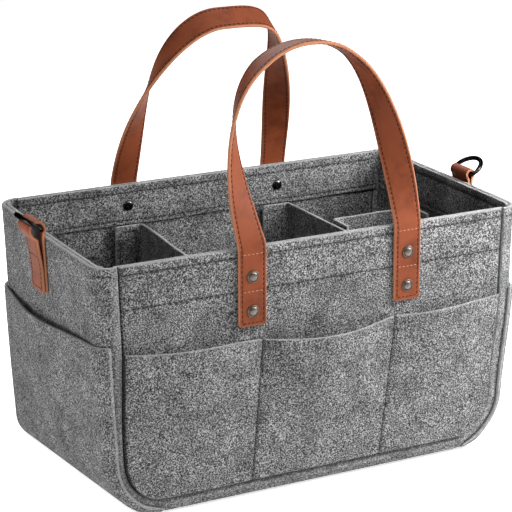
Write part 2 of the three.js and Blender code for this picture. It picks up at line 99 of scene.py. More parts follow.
SEAM_INSET = EDGE_RADIUS + SEAM_LIP + GAP
INNER_FACE = DEPTH / 2 - FELT

# Sizes of the sewing and of the soft shapes
RIM_STITCH = HEIGHT - 7.0
CROSS_STITCH = HEIGHT - 4.4
BAND_STITCH = HEIGHT - 35.5
FACING_FOOT = HEIGHT - FACING_HEIGHT
FACING_STITCH = FACING_FOOT + 4
FACING_DROP = 0.3
FACING_WRAP = math.radians(50)
FLAP_FRAME = (5, 21)
FRAME_FOOT = FLOOR_TOP + 7
FRAME_HEAD = DIVIDER_TOP - 6
STITCH_OUT = 9.6
CROSS_REACH = 9.2
FOOT_STITCH = 3.2
STRAP_EDGE = 1.3
STRAP_CROWN = 0.14
TAB_STITCH_TOP = -17.0
TAB_NARROWER = 0.4
RING_GIRTH = 2.0
SEAM_OVERLAP = 0.2
PANEL_SPAN = 353.0
BASE_ROWS = 72
EDGE_STEPS = 3
EVEN_FROM = 120.0

# The right end's foot is drawn in over its front part, clear of the long divider's flap
SAG_FROM = -46.0
SAG_REACH = 50.0

FRONT, BACK = -1, 1

# The two ends: corner radii and spread of the wall at the front and the back, how far its middle bows
# out, its foot is drawn in and its front lip is tucked in, the pocket's top edge along y, the tab and ring
LEFT = {
    "sign": -1, "radii": (53.0, 20.0), "spreads": (4.0, 5.0), "bow": 1.5, "sag": 0.0, "tuck": 3.6,
    "pocket_edge": ((-112, 152.0), (-90, 150.6), (-70, 149.0), (-45, 147.0), (-21, 144.4), (10, 141.0),
                    (35, 139.6), (65, 140.3), (93, 141.7), (112, 142.5)),
    "tab_y": 2.5, "tab_tilt": 4.0, "loop_slack": 6.0, "ring_lean": 40.0, "hinge": "left_ring_swing",
}
RIGHT = {
    "sign": 1, "radii": (50.0, 50.0), "spreads": (3.0, -1.0), "bow": 0.5, "sag": 4.0, "tuck": 0.0,
    "pocket_edge": ((-112, 145.0), (-70, 143.5), (-21, 140.5), (35, 140.0), (93, 142.5), (112, 143.5)),
    "tab_y": -15.0, "tab_tilt": 0.0, "loop_slack": 0.5, "ring_lean": 34.0, "hinge": "right_ring_swing",
}

# Top edge of the front and back pocket along x
POCKET_EDGE = np.array([
    (-180, 145.5), (-162, 143.4), (-142, 142.6), (-110, 142.2), (-76, 140.8), (-55, 138.5),
    (-36, 136.4), (-11, 135.9), (25, 136.2), (55, 137.6), (70, 138.7), (90, 138.2),
    (115, 140.2), (141, 141.6), (160, 141.0), (182, 141.2),
])

# The two handles: each leg's curve has a flare, a reach and a crown, and the strap turns on its way up
HANDLES = {
    FRONT: {
        "shift": 9.0, "spacing": 143.0, "rise": 156.0, "sway": -8.0, "lean": 11.5,
        "legs": ((25.5, 127.0, 35.0), (-5.0, 95.5, 61.5)),
        "turn": 96.0, "turn_length": 152.0, "early": 0.8, "drop": 65.0, "rivets": (23.0, 52.0),
    },
    BACK: {
        "shift": -2.5, "spacing": 148.0, "rise": 158.0, "sway": -4.5, "lean": 20.0,
        "legs": ((-1.5, 112.0, 33.5), (-14.5, 160.5, 62.0)),
        "turn": 105.0, "turn_length": 181.0, "early": 0.0, "drop": 62.0, "rivets": (19.0, 49.0),
    },
}


# Curves and spacing

def smooth(t):
    k = np.clip(t, 0, 1)
    return k * k * (3 - 2 * k)


def dip(distance, width):
    return np.exp(-((distance / width) ** 2))


def unit(v):
    return v / np.maximum(np.linalg.norm(v, axis=-1, keepdims=True), 1e-9)


def lengths_along(path):
    """Distance walked along a path, at each of its points."""
    return np.concatenate([[0], np.cumsum(np.linalg.norm(np.diff(path, axis=0), axis=1))])


def read_off(s, walked, values):
    """Rows of values at given lengths along a path."""
    return np.stack([np.interp(s, walked, column) for column in values.T], -1)


def evened(values, reach, width):
    """A row of values, each evened out with its neighbours."""
    kernel = dip(np.arange(-reach, reach + 1), width)
    return np.convolve(np.pad(values, reach, "edge"), kernel / kernel.sum(), "valid")


def bezier(t, knots):
    a, b, c, d = np.asarray(knots, float)
    return (1 - t) ** 3 * a + 3 * (1 - t) ** 2 * t * b + 3 * (1 - t) * t ** 2 * c + t ** 3 * d


def spread_out(start, end, step, marks=(), fine=0.8, reach=4.0):
    """Even positions from start to end, with close ones about each mark."""
    count = max(2, round((end - start) / step))
    places = list(np.linspace(start, end, count + 1))
    for mark in marks:
        near = np.arange(mark - reach, mark + reach + fine / 2, fine)
        places = [p for p in places if abs(p - mark) > reach + fine] + list(near)
    places = sorted(p for p in places if start + 1.6 < p < end - 1.6)
    return np.array([start, *places, end])


def ripple(points):
    """Slow uneven swelling of the felt walls, outwards only, still at the rim and the base."""
    x, y, z = points[..., 0], points[..., 1], points[..., 2]
    height = np.sin(np.pi * np.clip(z / HEIGHT, 0, 1)) ** 2
    long_wave = 0.5 + 0.3 * np.sin(x / 31 + 0.6) + 0.2 * np.sin(x / 17 - z / 40)
    side_wave = 0.5 + 0.3 * np.sin(y / 24 + 1.1) + 0.2 * np.sin(y / 13 + z / 35)
    moved = points.copy()
    on_long = smooth((np.abs(y) - 86) / 10)
    on_side = smooth((np.abs(x) - 168) / 12)
    moved[..., 1] += np.sign(y) * 1.4 * height * long_wave * on_long
    moved[..., 0] += np.sign(x) * 1.2 * height * side_wave * on_side
    return moved


# Meshes

def make_piece(name, points, faces, finish, worn=None):
    """A smooth mesh piece from millimetre points, turned to face out."""
    points = np.asarray(points, float)
    fans = np.array([(f[0], f[k], f[k + 1]) for f in faces for k in range(1, len(f) - 1)])
    a, b, c = (points[fans[:, k]] for k in range(3))
    if np.einsum("ij,ij->i", a, np.cross(b, c)).sum() < 0:
        faces = [f[::-1] for f in faces]
    mesh = bpy.data.meshes.new(name)
    mesh.from_pydata((points * MM).tolist(), [], faces)
    mesh.polygons.foreach_set("use_smooth", np.ones(len(faces), bool))
    # Per-point shading attribute: above 0 lighter (painted highlight on felt cut edges and lips, pale cut
    # edges on leather), below 0 darker (painted shade in seams, stitch grooves and rivet hollows).
    shade = mesh.attributes.new("worn", "FLOAT", "POINT")
    painted_light_and_edge_wear = np.zeros(len(points)) if worn is None else worn
    shade.data.foreach_set("value", np.asarray(painted_light_and_edge_wear, np.float32))
    mesh.materials.append(finish)
    mesh.update()
    piece = bpy.data.objects.new(name, mesh)
    bpy.context.scene.collection.objects.link(piece)
    return piece


def ease_rows(outside, inside, worn, radius):
    """Rounds the first and last row of a sheet over to a blunt cut edge."""
    def edge(end, following):
        middle, half = (outside[end] + inside[end]) / 2, (outside[end] - inside[end]) / 2
        thick = np.linalg.norm(half, axis=-1, keepdims=True)
        away = unit(middle - (outside[following] + inside[following]) / 2)
        r = np.minimum(radius, 0.85 * thick)
        rows = []
        for share in np.linspace(0, 1, EDGE_STEPS + 1):
            turn = share * math.pi / 2
            centre = middle - away * r * (1 - math.sin(turn))
            spread = half * (1 - r / np.maximum(thick, 1e-9) * (1 - math.cos(turn)))
            # Lighter out to the cut edge: a painted highlight on felt, the pale cut edge on leather;
            # painted shade already there is kept.
            pale = np.where(worn[end] < -0.3, worn[end], np.maximum(worn[end], share))
            rows.append((centre + spread, centre - spread, pale))
        return rows

    head, tail = edge(0, 1)[::-1], edge(-1, -2)
    return [np.concatenate([[row[k] for row in head], grid[1:-1], [row[k] for row in tail]])
            for k, grid in enumerate((outside, inside, worn))]


def felt_shell(name, outside, inside, finish, worn=None, edge=1.2):
    """A closed sheet between two grids of points, with rounded cut edges all round."""
    grids = [outside, inside, np.zeros(outside.shape[:2]) if worn is None else worn]
    for _ in range(2):
        grids = [np.swapaxes(grid, 0, 1) for grid in ease_rows(*grids, edge)]
    outside, inside, worn = grids
    rows, columns = worn.shape
    count = rows * columns
    index = np.arange(count).reshape(rows, columns)
    top = np.stack([index[:-1, :-1], index[:-1, 1:], index[1:, 1:], index[1:, :-1]], -1).reshape(-1, 4)
    border = np.concatenate([index[0, :-1], index[:-1, -1], index[-1, :0:-1], index[:0:-1, 0]])
    after = np.roll(border, -1)
    wall = np.stack([after, border, border + count, after + count], -1)
    faces = np.concatenate([top, top[:, ::-1] + count, wall])
    points = np.concatenate([outside.reshape(-1, 3), inside.reshape(-1, 3)])
    return make_piece(name, points, faces.tolist(), finish, np.tile(worn.ravel(), 2))


def tube_rows(points, faces, rows, closed=False):
    """Adds a loft of equal rings to a list of points and faces."""
    start = len(points)
    count = len(rows[0])
    points.extend(np.concatenate(rows).tolist())
    rings = len(rows)
    for r in range(rings if closed else rings - 1):
        near, far = start + r * count, start + (r + 1) % rings * count
        for i in range(count):
            j = (i + 1) % count
            faces.append([near + i, near + j, far + j, far + i])
    if not closed:
        last = start + (rings - 1) * count
        faces.append([start + i for i in range(count)][::-1])
        faces.append([last + i for i in range(count)])


# A stitch is a short tube whose ends dive into the sheet
STITCH_SHARES = np.array([0.0, 0.12, 0.5, 0.88, 1.0])
STITCH_GIRTH = np.array([0.35, 0.85, 1.0, 0.85, 0.35])
STITCH_LIFT = np.array([-1.0, -0.1, 0.35, -0.1, -1.0])
STITCH_TURNS = np.arange(6) / 6 * 2 * math.pi


def sew(path, normals, length=3.4, space=1.1, girth=0.42):
    """Points and faces of a row of stitches along a path that lies on a surface."""
    path, normals = np.asarray(path, float), np.asarray(normals, float)
    walked = lengths_along(path)
    count = max(1, int((walked[-1] + space) // (length + space)))
    pitch = walked[-1] / count
    starts = (np.arange(count) + 0.5) * pitch - (pitch - space) / 2
    s = starts[:, None] + STITCH_SHARES[None] * (pitch - space)
    at, out = read_off(s, walked, path), unit(read_off(s, walked, normals))
    way = unit(at[:, -1:] - at[:, :1])
    across = unit(np.cross(way, out))
    at = at + out * (STITCH_LIFT * girth)[None, :, None]
    ring = (np.cos(STITCH_TURNS)[:, None] * across[:, :, None] * 1.15
            + np.sin(STITCH_TURNS)[:, None] * out[:, :, None])
    points, faces = [], []
    for stitch in at[:, :, None] + ring * (STITCH_GIRTH * girth)[None, :, None, None]:
        tube_rows(points, faces, stitch)
    return points, faces


def gather(rows):
    """Joins several rows of stitches into one list of points and faces."""
    points, faces = [], []
    for row_points, row_faces in rows:
        faces.extend([[i + len(points) for i in f] for f in row_faces])
        points.extend(row_points)
    return points, faces


def surface_normals(grid):
    along = np.gradient(grid, axis=0)
    across = np.gradient(grid, axis=1)
    return unit(np.cross(across, along))


def facing(normals, way):
    """Normals turned to the side that a direction names."""
    flip = np.sign(np.einsum("...k,k->...", normals, np.asarray(way, float)))
    return normals * flip[..., None]


# Finishes

class Wire:
    """A socket in a finish. Arithmetic on it adds Math nodes."""

    def __init__(self, finish, socket):
        self.finish = finish
        self.socket = socket

    def math(self, operation, first, second):
        return self.finish.add("ShaderNodeMath", {"operation": operation}, {0: first, 1: second})

    def __add__(self, other):
        return self.math("ADD", self, other)

    def __radd__(self, other):
        return self.math("ADD", other, self)

    def __sub__(self, other):
        return self.math("SUBTRACT", self, other)

    def __rsub__(self, other):
        return self.math("SUBTRACT", other, self)

    def __mul__(self, other):
        return self.math("MULTIPLY", self, other)

    def __rmul__(self, other):
        return self.math("MULTIPLY", other, self)

    def __abs__(self):
        return self.math("ABSOLUTE", self, 0.0)

    def clamped(self):
        return self.math("MINIMUM", self.math("MAXIMUM", self, 0.0), 1.0)


class Finish:
    """A procedural material and the one method that adds its nodes."""

    def __init__(self, name):
        self.material = bpy.data.materials.new(name)
        self.material.use_nodes = True
        self.tree = self.material.node_tree
        self.tree.nodes.clear()

    def add(self, kind, settings=None, inputs=None, output=0):
        node = self.tree.nodes.new(kind)
        for key, value in (settings or {}).items():
            if key == "stops":
                ramp = node.color_ramp
                while len(ramp.elements) < len(value):
                    ramp.elements.new(0.5)
                for element, (place, colour) in zip(ramp.elements, value):
                    element.position = place
                    element.color = paint(colour)
            else:
                setattr(node, key, value)
        for key, value in (inputs or {}).items():
            if isinstance(value, Wire):
                self.tree.links.new(value.socket, node.inputs[key])
            else:
                node.inputs[key].default_value = value
        return None if output is None else Wire(self, node.outputs[output])

    def place(self):
        return self.add("ShaderNodeTexCoord", output="Object")

    def worn(self):
        return self.add("ShaderNodeAttribute", {"attribute_name": "worn"}, output="Fac")

    def noise(self, where, scale, detail=2.0, roughness=0.5, distortion=0.0):
        return self.add("ShaderNodeTexNoise", {}, {
            "Vector": where, "Scale": scale, "Detail": detail,
            "Roughness": roughness, "Distortion": distortion})

    def stretched(self, where, scales, turn=(0, 0, 0)):
        return self.add("ShaderNodeMapping", {}, {"Vector": where, "Scale": scales, "Rotation": turn})

    def cells(self, where, scale, feature):
        return self.add("ShaderNodeTexVoronoi", {"feature": feature}, {"Vector": where, "Scale": scale})

    def ramp(self, value, *stops):
        return self.add("ShaderNodeValToRGB", {"stops": stops}, {"Fac": value})

    def blend(self, share, first, second, how="MIX"):
        first, second = (c if isinstance(c, Wire) else paint(c) for c in (first, second))
        return self.add("ShaderNodeMix", {"data_type": "RGBA", "blend_type": how}, {
            0: share, 6: first, 7: second}, output=2)

    def bump(self, height, distance, strength):
        return self.add("ShaderNodeBump", {}, {
            "Height": height, "Distance": distance, "Strength": strength})

    def finish(self, inputs):
        shader = self.add("ShaderNodeBsdfPrincipled", {}, inputs)
        self.add("ShaderNodeOutputMaterial", {}, {"Surface": shader}, output=None)
        return self.material


def paint(colour):
    return (*colour, 1.0)


def toned(colour, strength):
    """A colour made lighter or darker by a factor."""
    return tuple(channel * strength for channel in colour)


def felt_finish(name, dark, middle, light):
    """Pressed felt: grains of three tones, pale and dark fibres, clouds, a painted highlight on cut edges
    and painted shade in seams and stitch grooves.
    """
    f = Finish(name)
    where = f.place()
    speck = f.noise(where, 860, 2, 0.6)
    grain = f.ramp(speck, (0.435, dark), (0.5, middle), (0.57, light))
    pale = (1 - abs(f.noise(where, 330, 3, 0.6, 2.2) - 0.5) * 18).clamped()
    turned = f.stretched(where, (1, 1, 1), (0.7, 0.4, 1.1))
    black = (1 - abs(f.noise(turned, 290, 3, 0.6, 2.6) - 0.5) * 14).clamped()
    shade = f.blend(pale * 0.55, grain, light)
    shade = f.blend(black * 0.75, shade, dark)
    cloud = f.ramp(f.noise(where, 42, 4, 0.65), (0.32, (0.66, 0.66, 0.66)), (0.68, (1.3, 1.3, 1.3)))
    shade = f.blend(1.0, shade, cloud, "MULTIPLY")
    worn = f.worn()
    # Painted highlight where the shading attribute is above 0
    shade = f.blend(worn.clamped() * 0.6, shade, toned(light, 1.1))
    # Painted shade where the shading attribute is below 0
    shade = f.blend((0 - worn).clamped() * 0.9, shade, toned(dark, 0.35))
    height = speck * 0.7 + pale * 0.35 - black * 0.3
    return f.finish({
        "Base Color": shade,
        "Roughness": 0.82 + speck * 0.2,
        "Sheen Weight": 0.04,
        "Sheen Roughness": 0.55,
        "Specular IOR Level": 0.08,
        "Normal": f.bump(height, 0.0013, 0.85),
    })


def leather_finish(name, deep, tan, pale):
    """Smooth leather: clouds, pores and creases, pale cut edges and painted shade in the stitch grooves.
    """
    f = Finish(name)
    where = f.place()
    cloud = f.noise(where, 38, 4, 0.6)
    shade = f.ramp(cloud, (0.3, deep), (0.52, tan), (0.75, toned(tan, 1.12)))
    pores = f.cells(where, 1150, "DISTANCE_TO_EDGE")
    creases = f.noise(where, 420, 3, 0.6, 0.8)
    worn = f.worn()
    shade = f.blend((creases - 0.5).clamped() * 0.5, shade, deep)
    # Pale cut edges where the shading attribute is above 0, painted shade in the stitch grooves where it
    # is below 0
    shade = f.blend(worn.clamped() * 0.7, shade, pale)
    shade = f.blend((0 - worn).clamped() * 0.8, shade, toned(deep, 0.45))
    return f.finish({
        "Base Color": shade,
        "Roughness": 0.46 + cloud * 0.16 + worn.clamped() * 0.15,
        "Specular IOR Level": 0.1,
        "Normal": f.bump((pores * 2).clamped() * 0.5 + creases * 0.6, 0.00035, 0.6),
    })


def metal_finish(name, base, dark, rough, edge):
    """Plated metal: tarnish, fine scratches and painted shade in the hollows."""
    f = Finish(name)
    where = f.place()
    scratches = f.noise(f.stretched(where, (1, 1, 9), (0.4, 0.9, 0.2)), 500, 3, 0.6)
    tarnish = f.noise(where, 240, 3, 0.6)
    shade = f.blend((tarnish * 1.6 - 0.5).clamped() * 0.5, base, dark)
    # Painted shade round the rivet cap's rim and in its groove
    shade = f.blend((0 - f.worn()).clamped() * 0.9, shade, toned(dark, 0.25))
    return f.finish({
        "Base Color": shade,
        "Metallic": 1.0,
        "Specular Tint": paint((edge, edge, edge)),
        "Roughness": rough + scratches * 0.16,
        "Normal": f.bump(scratches, 0.00006, 0.5),
    })


def thread_finish(name, deep, pale):
    f = Finish(name)
    ply = f.noise(f.place(), 1500, 2, 0.5)
    return f.finish({
        "Base Color": f.ramp(ply, (0.35, deep), (0.65, pale)),
        "Roughness": 0.7 + ply * 0.2,
        "Specular IOR Level": 0.1,
        "Normal": f.bump(ply, 0.0002, 0.6),
    })


def tape_finish(name):
    f = Finish(name)
    hooks = f.cells(f.place(), 620, "F1")
    return f.finish({
        "Base Color": f.ramp(hooks, (0.1, (0.05, 0.05, 0.055)), (0.6, (0.012, 0.012, 0.014))),
        "Roughness": 0.75 + hooks * 0.2,
        "Normal": f.bump(1 - hooks, 0.0009, 0.8),
    })


outer_felt = felt_finish(
    "outer_felt", (0.004, 0.004, 0.0042), (0.04, 0.04, 0.0405), (0.385, 0.385, 0.388))
inner_felt = felt_finish(
    "inner_felt", (0.006, 0.006, 0.0062), (0.062, 0.062, 0.0626), (0.40, 0.40, 0.404))
tan_leather = leather_finish(
    "tan_leather", (0.078, 0.018, 0.0066), (0.144, 0.035, 0.0128), (0.33, 0.15, 0.082))
pewter = metal_finish("pewter", (0.15, 0.125, 0.108), (0.04, 0.032, 0.027), 0.3, 0.5)
black_plate = metal_finish("black_plate", (0.06, 0.06, 0.062), (0.02, 0.02, 0.021), 0.1, 0.6)
black_nickel = metal_finish("black_nickel", (0.02, 0.02, 0.021), (0.006, 0.006, 0.0065), 0.16, 0.05)
grey_thread = thread_finish("grey_thread", (0.006, 0.006, 0.0063), (0.024, 0.024, 0.0248))
brown_thread = thread_finish("brown_thread", (0.016, 0.005, 0.0026), (0.05, 0.016, 0.0082))
tan_thread = thread_finish("tan_thread", (0.22, 0.10, 0.052), (0.36, 0.2, 0.125))
hook_tape = tape_finish("hook_tape")


# The felt walls

def back_share(y):
    """0 at the front turned edge, 1 at the back one."""
    return (1 + np.clip(np.asarray(y, float) / FLAT_DEPTH, -1, 1)) / 2


def corner_radius(side, y):
    """Radius of a side's bottom corner, which goes over from the front one to the back one."""
    first, last = side["radii"]
    return first + (last - first) * back_share(y)


def stations(side, start, top, step=4.0, marks=()):
    """Rows of turn and height along a side: round its widest corner, then up the wall."""
    radius = max(side["radii"])
    turns = np.linspace(start, math.pi / 2, max(4, round((math.pi / 2 - start) * radius / step)) + 1)
    z = spread_out(radius, top, step, marks)[1:]
    return np.stack([
        np.concatenate([turns, np.full_like(z, math.pi / 2)]),
        np.concatenate([radius * (1 - np.cos(turns)), z]),
    ], -1)


def wall_swell(rise, y, side):
    """How far a side stands out of its slope, more towards the rim."""
    share = back_share(y)
    first, last = side["spreads"]
    return rise * (side["bow"] * np.sin(math.pi * share) ** 2 + first + (last - first) * smooth(share))


def low_share(rows, side):
    """1 about the top of a side's bottom corner, 0 under the base and well up the wall."""
    turn, level = rows[:, :1], rows[:, 1:]
    return np.where(level > max(side["radii"]), smooth((150 - level) / 85), smooth(turn / 0.9))


def skin(rows, side, y, inset, held=0.0):
    """Grid of points a given way below the gusset's outside face, its corner tighter at one end."""
    turn, level = rows[:, :1], rows[:, 1:]
    y = np.broadcast_to(np.asarray(y, float), (len(rows), np.shape(y)[-1]))
    widest = max(side["radii"])
    radius = corner_radius(side, y)
    wall = level > widest
    eased = radius + (level - widest) * (EVEN_FROM - radius) / (EVEN_FROM - widest)
    z = np.where(wall, np.where(level < EVEN_FROM, eased, level), radius * (1 - np.cos(turn)))
    rise = np.maximum(z - radius, 0) / (HEIGHT - radius) * wall
    slope = (RIM_LENGTH - BASE_LENGTH) / 2 / (HEIGHT - radius)
    x = BASE_LENGTH / 2 - np.where(wall, -slope * (z - radius), radius * (1 - np.sin(turn)))
    run = np.hypot(1, slope)
    nx = np.where(wall, 1 / run, np.sin(turn))
    nz = np.where(wall, -slope / run, -np.cos(turn))
    drawn_in = side["sag"] * low_share(rows, side) * smooth((SAG_FROM - y) / SAG_REACH)
    out = wall_swell(rise, y, side) * (1 - held) - inset - drawn_in
    return np.stack([side["sign"] * (x + nx * out), y, z + nz * out], -1)


def lip_inset(rows, side, face):
    """How far in from the outside of a side its turned edge ends, at the seam of a long wall."""
    return EDGE_RADIUS + SEAM_LIP - side["tuck"] * low_share(rows, side) * (face == FRONT)


def seam_x(side, z, face, beyond=GAP):
    """X of the seam between a side and a long wall, or of a line a given way beyond it."""
    rows = stations(side, 0.0, HEIGHT + 2, 2.0)
    line = skin(rows, side, [face * DEPTH / 2], lip_inset(rows, side, face) + beyond, 1.0)[:, 0]
    return np.interp(z, line[:, 2], line[:, 0])


def curl_depth(rows):
    """How far round the turned edges reach in from the front and back: further near the rim."""
    return EDGE_RADIUS + (RIM_CURL - EDGE_RADIUS) * smooth((rows[:, 1:] - 90) / 110)


def gusset_section(depth_in, rows, side):
    """Across the gusset: lip, turned edge, flat, turned edge, lip, as y, inset and how far held."""
    turns = np.linspace(0, math.pi / 2, 10)
    reach = curl_depth(rows)
    none = np.zeros((len(rows), 1))
    ends = {}
    for face in (FRONT, BACK):
        lip = lip_inset(rows, side, face)
        curl = lip - SEAM_LIP
        lip_y = face * (DEPTH / 2 - (depth_in + 0.5)) + none
        curl_y = face * (DEPTH / 2 - reach + (reach - depth_in) * np.cos(turns))
        curl_in = curl - (curl - depth_in) * np.sin(turns)
        ends[face] = (
            np.hstack([lip_y, curl_y]),
            np.hstack([lip, curl_in]),
            np.hstack([none + 1, none + 1 - np.sin(turns)]),
        )
    span = np.linspace(-1, 1, 41)[1:-1]
    flat = ((DEPTH / 2 - reach) * span, depth_in + none * span, none * span)
    return [np.hstack([front, middle, back[:, ::-1]])
            for front, middle, back in zip(ends[FRONT], flat, ends[BACK])]


def make_gusset():
    """One strip down the left side, under the base and up the right side."""
    faces = []
    shade = []
    for depth_in in (0.0, FELT):
        halves = []
        for side in (LEFT, RIGHT):
            rows = stations(side, 0.0, HEIGHT, 4.0, (RIM_STITCH,))
            y, inset, held = gusset_section(depth_in, rows, side)
            # Pressed in along the rim stitch row on the turned edges, with painted shade in that groove
            mark = dip(rows[:, 1:] - RIM_STITCH, 1.1) * smooth((np.abs(y) - 92) / 8) * (depth_in == 0)
            halves.append(skin(rows, side, y, inset + 0.55 * mark, held))
            shade.append(-0.6 * mark)
        base = np.linspace(halves[0][0], halves[1][0], BASE_ROWS + 2)[1:-1]
        faces.append(ripple(np.concatenate([halves[0][::-1], base, halves[1]])))
    worn = np.concatenate([shade[0][::-1], np.zeros((BASE_ROWS, shade[0].shape[1])), shade[1]])
    # Painted highlight along the lip at each seam
    worn[:, :3] += 0.25
    worn[:, -3:] += 0.25
    return felt_shell("gusset_felt", *faces, outer_felt, worn), faces[0]


def panel_grid(rows, columns, y):
    """Grid in the plane of a long wall, from seam to seam."""
    left, right = (seam_x(side, rows, np.sign(y), -SEAM_OVERLAP) for side in (LEFT, RIGHT))
    x = left[:, None] + (right - left)[:, None] * columns[None]
    return np.stack([x, np.full_like(x, y), np.broadcast_to(rows[:, None], x.shape)], -1)


def seam_press(grid, width=2.0):
    """Share, near 1 at the side and bottom seams, by which a layer is drawn into the seam."""
    z = grid[..., 2]
    face = np.sign(grid[0, 0, 1])
    left = grid[..., 0] - seam_x(LEFT, z, face)
    right = seam_x(RIGHT, z, face) - grid[..., 0]
    return np.maximum(np.maximum(dip(left, width), dip(right, width)), dip(z - SEAM_INSET, width))


def make_panel(name, face):
    """A long wall, drawn into its seams and pressed in along its stitch rows."""
    rows = spread_out(SEAM_INSET, HEIGHT, 5.0, (SEAM_INSET + 8, BAND_STITCH, RIM_STITCH))
    marks = (2, 5, PANEL_SPAN - 5, PANEL_SPAN - 2)
    columns = spread_out(0, PANEL_SPAN, 5.0, marks, 0.8, 2.4) / PANEL_SPAN
    outside = panel_grid(rows, columns, face * DEPTH / 2)
    inside = panel_grid(rows, columns, face * INNER_FACE)
    pull = seam_press(outside)
    rim = dip(outside[..., 2] - RIM_STITCH, 1.3)
    band = dip(outside[..., 2] - BAND_STITCH, 1.4)
    outside[..., 1] -= face * (2.6 * pull + 0.75 * rim + 0.6 * band)
    # Painted shade in the seams and along the stitch grooves
    worn = -1.3 * pull ** 2.5 - 0.55 * rim - 0.45 * band
    outside, inside = ripple(outside), ripple(inside)
    return felt_shell(name, outside, inside, outer_felt, worn, 1.3), outside


def pocket_top(x):
    """Height of a long pocket's top edge, its outline rounded off."""
    fine = np.linspace(-190, 190, 381)
    return np.interp(x, fine, evened(np.interp(fine, *POCKET_EDGE.T), 24, 10.0))


def make_pocket(name, face):
    """The long pocket layer: flat along seams and stitch lines, standing off in a pouch between them."""
    levels = spread_out(0, 120, 4.0, (5,), 1.2, 4.0) / 120
    share = spread_out(0, 124, 4.0, (4, 120), 1.0, 3.0) / 124
    inside, pull = [], []
    for level in levels:
        nominal = SEAM_INSET + level * (POCKET_TOP - SEAM_INSET)
        lines = [foot + (top - foot) * level for foot, top in zip(STITCH_FEET, STITCH_TOPS)]
        ends = [seam_x(LEFT, nominal, face), *lines, seam_x(RIGHT, nominal, face)]
        row, row_pull = [], []
        for p, depth in enumerate(POUCH_DEPTHS):
            t = share if p == 0 else share[1:]
            width = ends[p + 1] - ends[p]
            x = ends[p] + width * t
            z = SEAM_INSET + level * (pocket_top(x) - SEAM_INSET)
            slack = smooth((z - POUCH_START) / (POCKET_TOP - POUCH_START)) ** 1.15
            belly = 1.1 * smooth(z / 40) * smooth((142 - z) / 60)
            off = GAP + (depth * slack + belly) * np.sin(math.pi * t) ** 1.25
            row.append(np.stack([x, face * (DEPTH / 2 + off), z], -1))
            first = dip(t * width, 1.9) * (p > 0)
            last = dip((1 - t) * width, 1.9) * (p < len(lines))
            row_pull.append(np.maximum(first, last))
        inside.append(np.concatenate(row))
        pull.append(np.concatenate(row_pull))
    inside, pull = np.array(inside), np.array(pull)
    outside = inside.copy()
    seam = seam_press(outside)
    outside[..., 1] += face * (POCKET_FELT - 1.1 * pull - 2.4 * seam)
    # Painted shade along the stitch lines and in the seams
    worn = -0.6 * pull ** 2 - 1.3 * seam ** 2.5
    outside, inside = ripple(outside), ripple(inside)
    return felt_shell(name, outside, inside, outer_felt, worn, 1.1), outside, len(share) - 1


def make_side_pocket(name, side):
    """A side pocket: it wraps a good way round both turned edges of the gusset."""
    rows = stations(side, SIDE_POCKET_TURN, SIDE_POCKET_TOP, 4.0)
    turns = np.linspace(SIDE_POCKET_WRAP, 0, 8)[:-1]
    flat = np.linspace(-1, 1, 45)
    round_off = np.concatenate([np.cos(turns), np.ones(len(flat)), np.cos(turns)[::-1]])
    reach = curl_depth(rows)
    slack = smooth((rows[:, 1] - POUCH_START) / (SIDE_POCKET_TOP - POUCH_START))
    grids = []
    for layer in (1.0, 0.0):
        skin_out = GAP + layer * POCKET_FELT
        curl_y = DEPTH / 2 - reach + (reach + skin_out) * np.sin(turns)
        y = np.concatenate([-curl_y, (DEPTH / 2 - reach) * flat, curl_y[:, ::-1]], 1)
        room = corner_radius(side, y) * (1 / np.maximum(np.cos(rows[:, :1]), 1e-6) - 1)
        lying = np.minimum(skin_out, room * (0.15 + 0.4 * layer))
        belly = np.cos(math.pi * np.clip(y / DEPTH * 2, -1, 1) / 2) ** 1.3
        bulge = SIDE_POUCH_DEPTH * slack[:, None] * belly
        inset = EDGE_RADIUS - (EDGE_RADIUS + lying) * round_off - bulge * (round_off == 1)
        grids.append(skin(rows, side, y, inset, 1 - round_off))
    climb = np.interp(grids[0][..., 1], *np.transpose(side["pocket_edge"])) - SIDE_POCKET_TOP
    for grid in grids:
        grid[..., 2] += climb * smooth((rows[:, 1:] - 60) / 82)
    outside, inside = ripple(grids[0]), ripple(grids[1])
    worn = np.zeros(outside.shape[:2])
    # Painted highlight along the front and back cut edges
    worn[:, [0, -1]] = 0.7
    return felt_shell(name, outside, inside, outer_felt, worn, 1.0)


def facing_press(z):
    """How far a rim facing is pressed in along its two stitch rows."""
    return 0.5 * dip(z - FACING_STITCH, 1.2) + 0.6 * dip(z - RIM_STITCH, 1.3)


def make_long_facing(name, face):
    """The band inside a long wall, its lower edge a little wavy."""
    rows = spread_out(FACING_FOOT, HEIGHT - FACING_DROP, 4.0, (FACING_STITCH, RIM_STITCH), 0.9, 2.0)
    left, right = (seam_x(side, FACING_FOOT, face, -SEAM_LIP) for side in (LEFT, RIGHT))
    x = np.linspace(left, right, 90)
    wave = 0.5 * np.sin(x / 23) + 0.3 * np.sin(x / 11 + 2)
    z = rows[:, None] + wave[None] * smooth((FACING_FOOT + 12 - rows[:, None]) / 12)
    outer = np.stack([np.broadcast_to(x, z.shape), np.full_like(z, face * (INNER_FACE - GAP)), z], -1)
    inner = outer.copy()
    press = facing_press(rows)[:, None]
    inner[..., 1] = face * (INNER_FACE - GAP - FACING_FELT + press)
    outer, inner = ripple(outer), ripple(inner)
    # The pressed stitch rows also get painted shade
    return felt_shell(name, inner, outer, inner_felt, np.broadcast_to(-press, z.shape), 0.6), inner


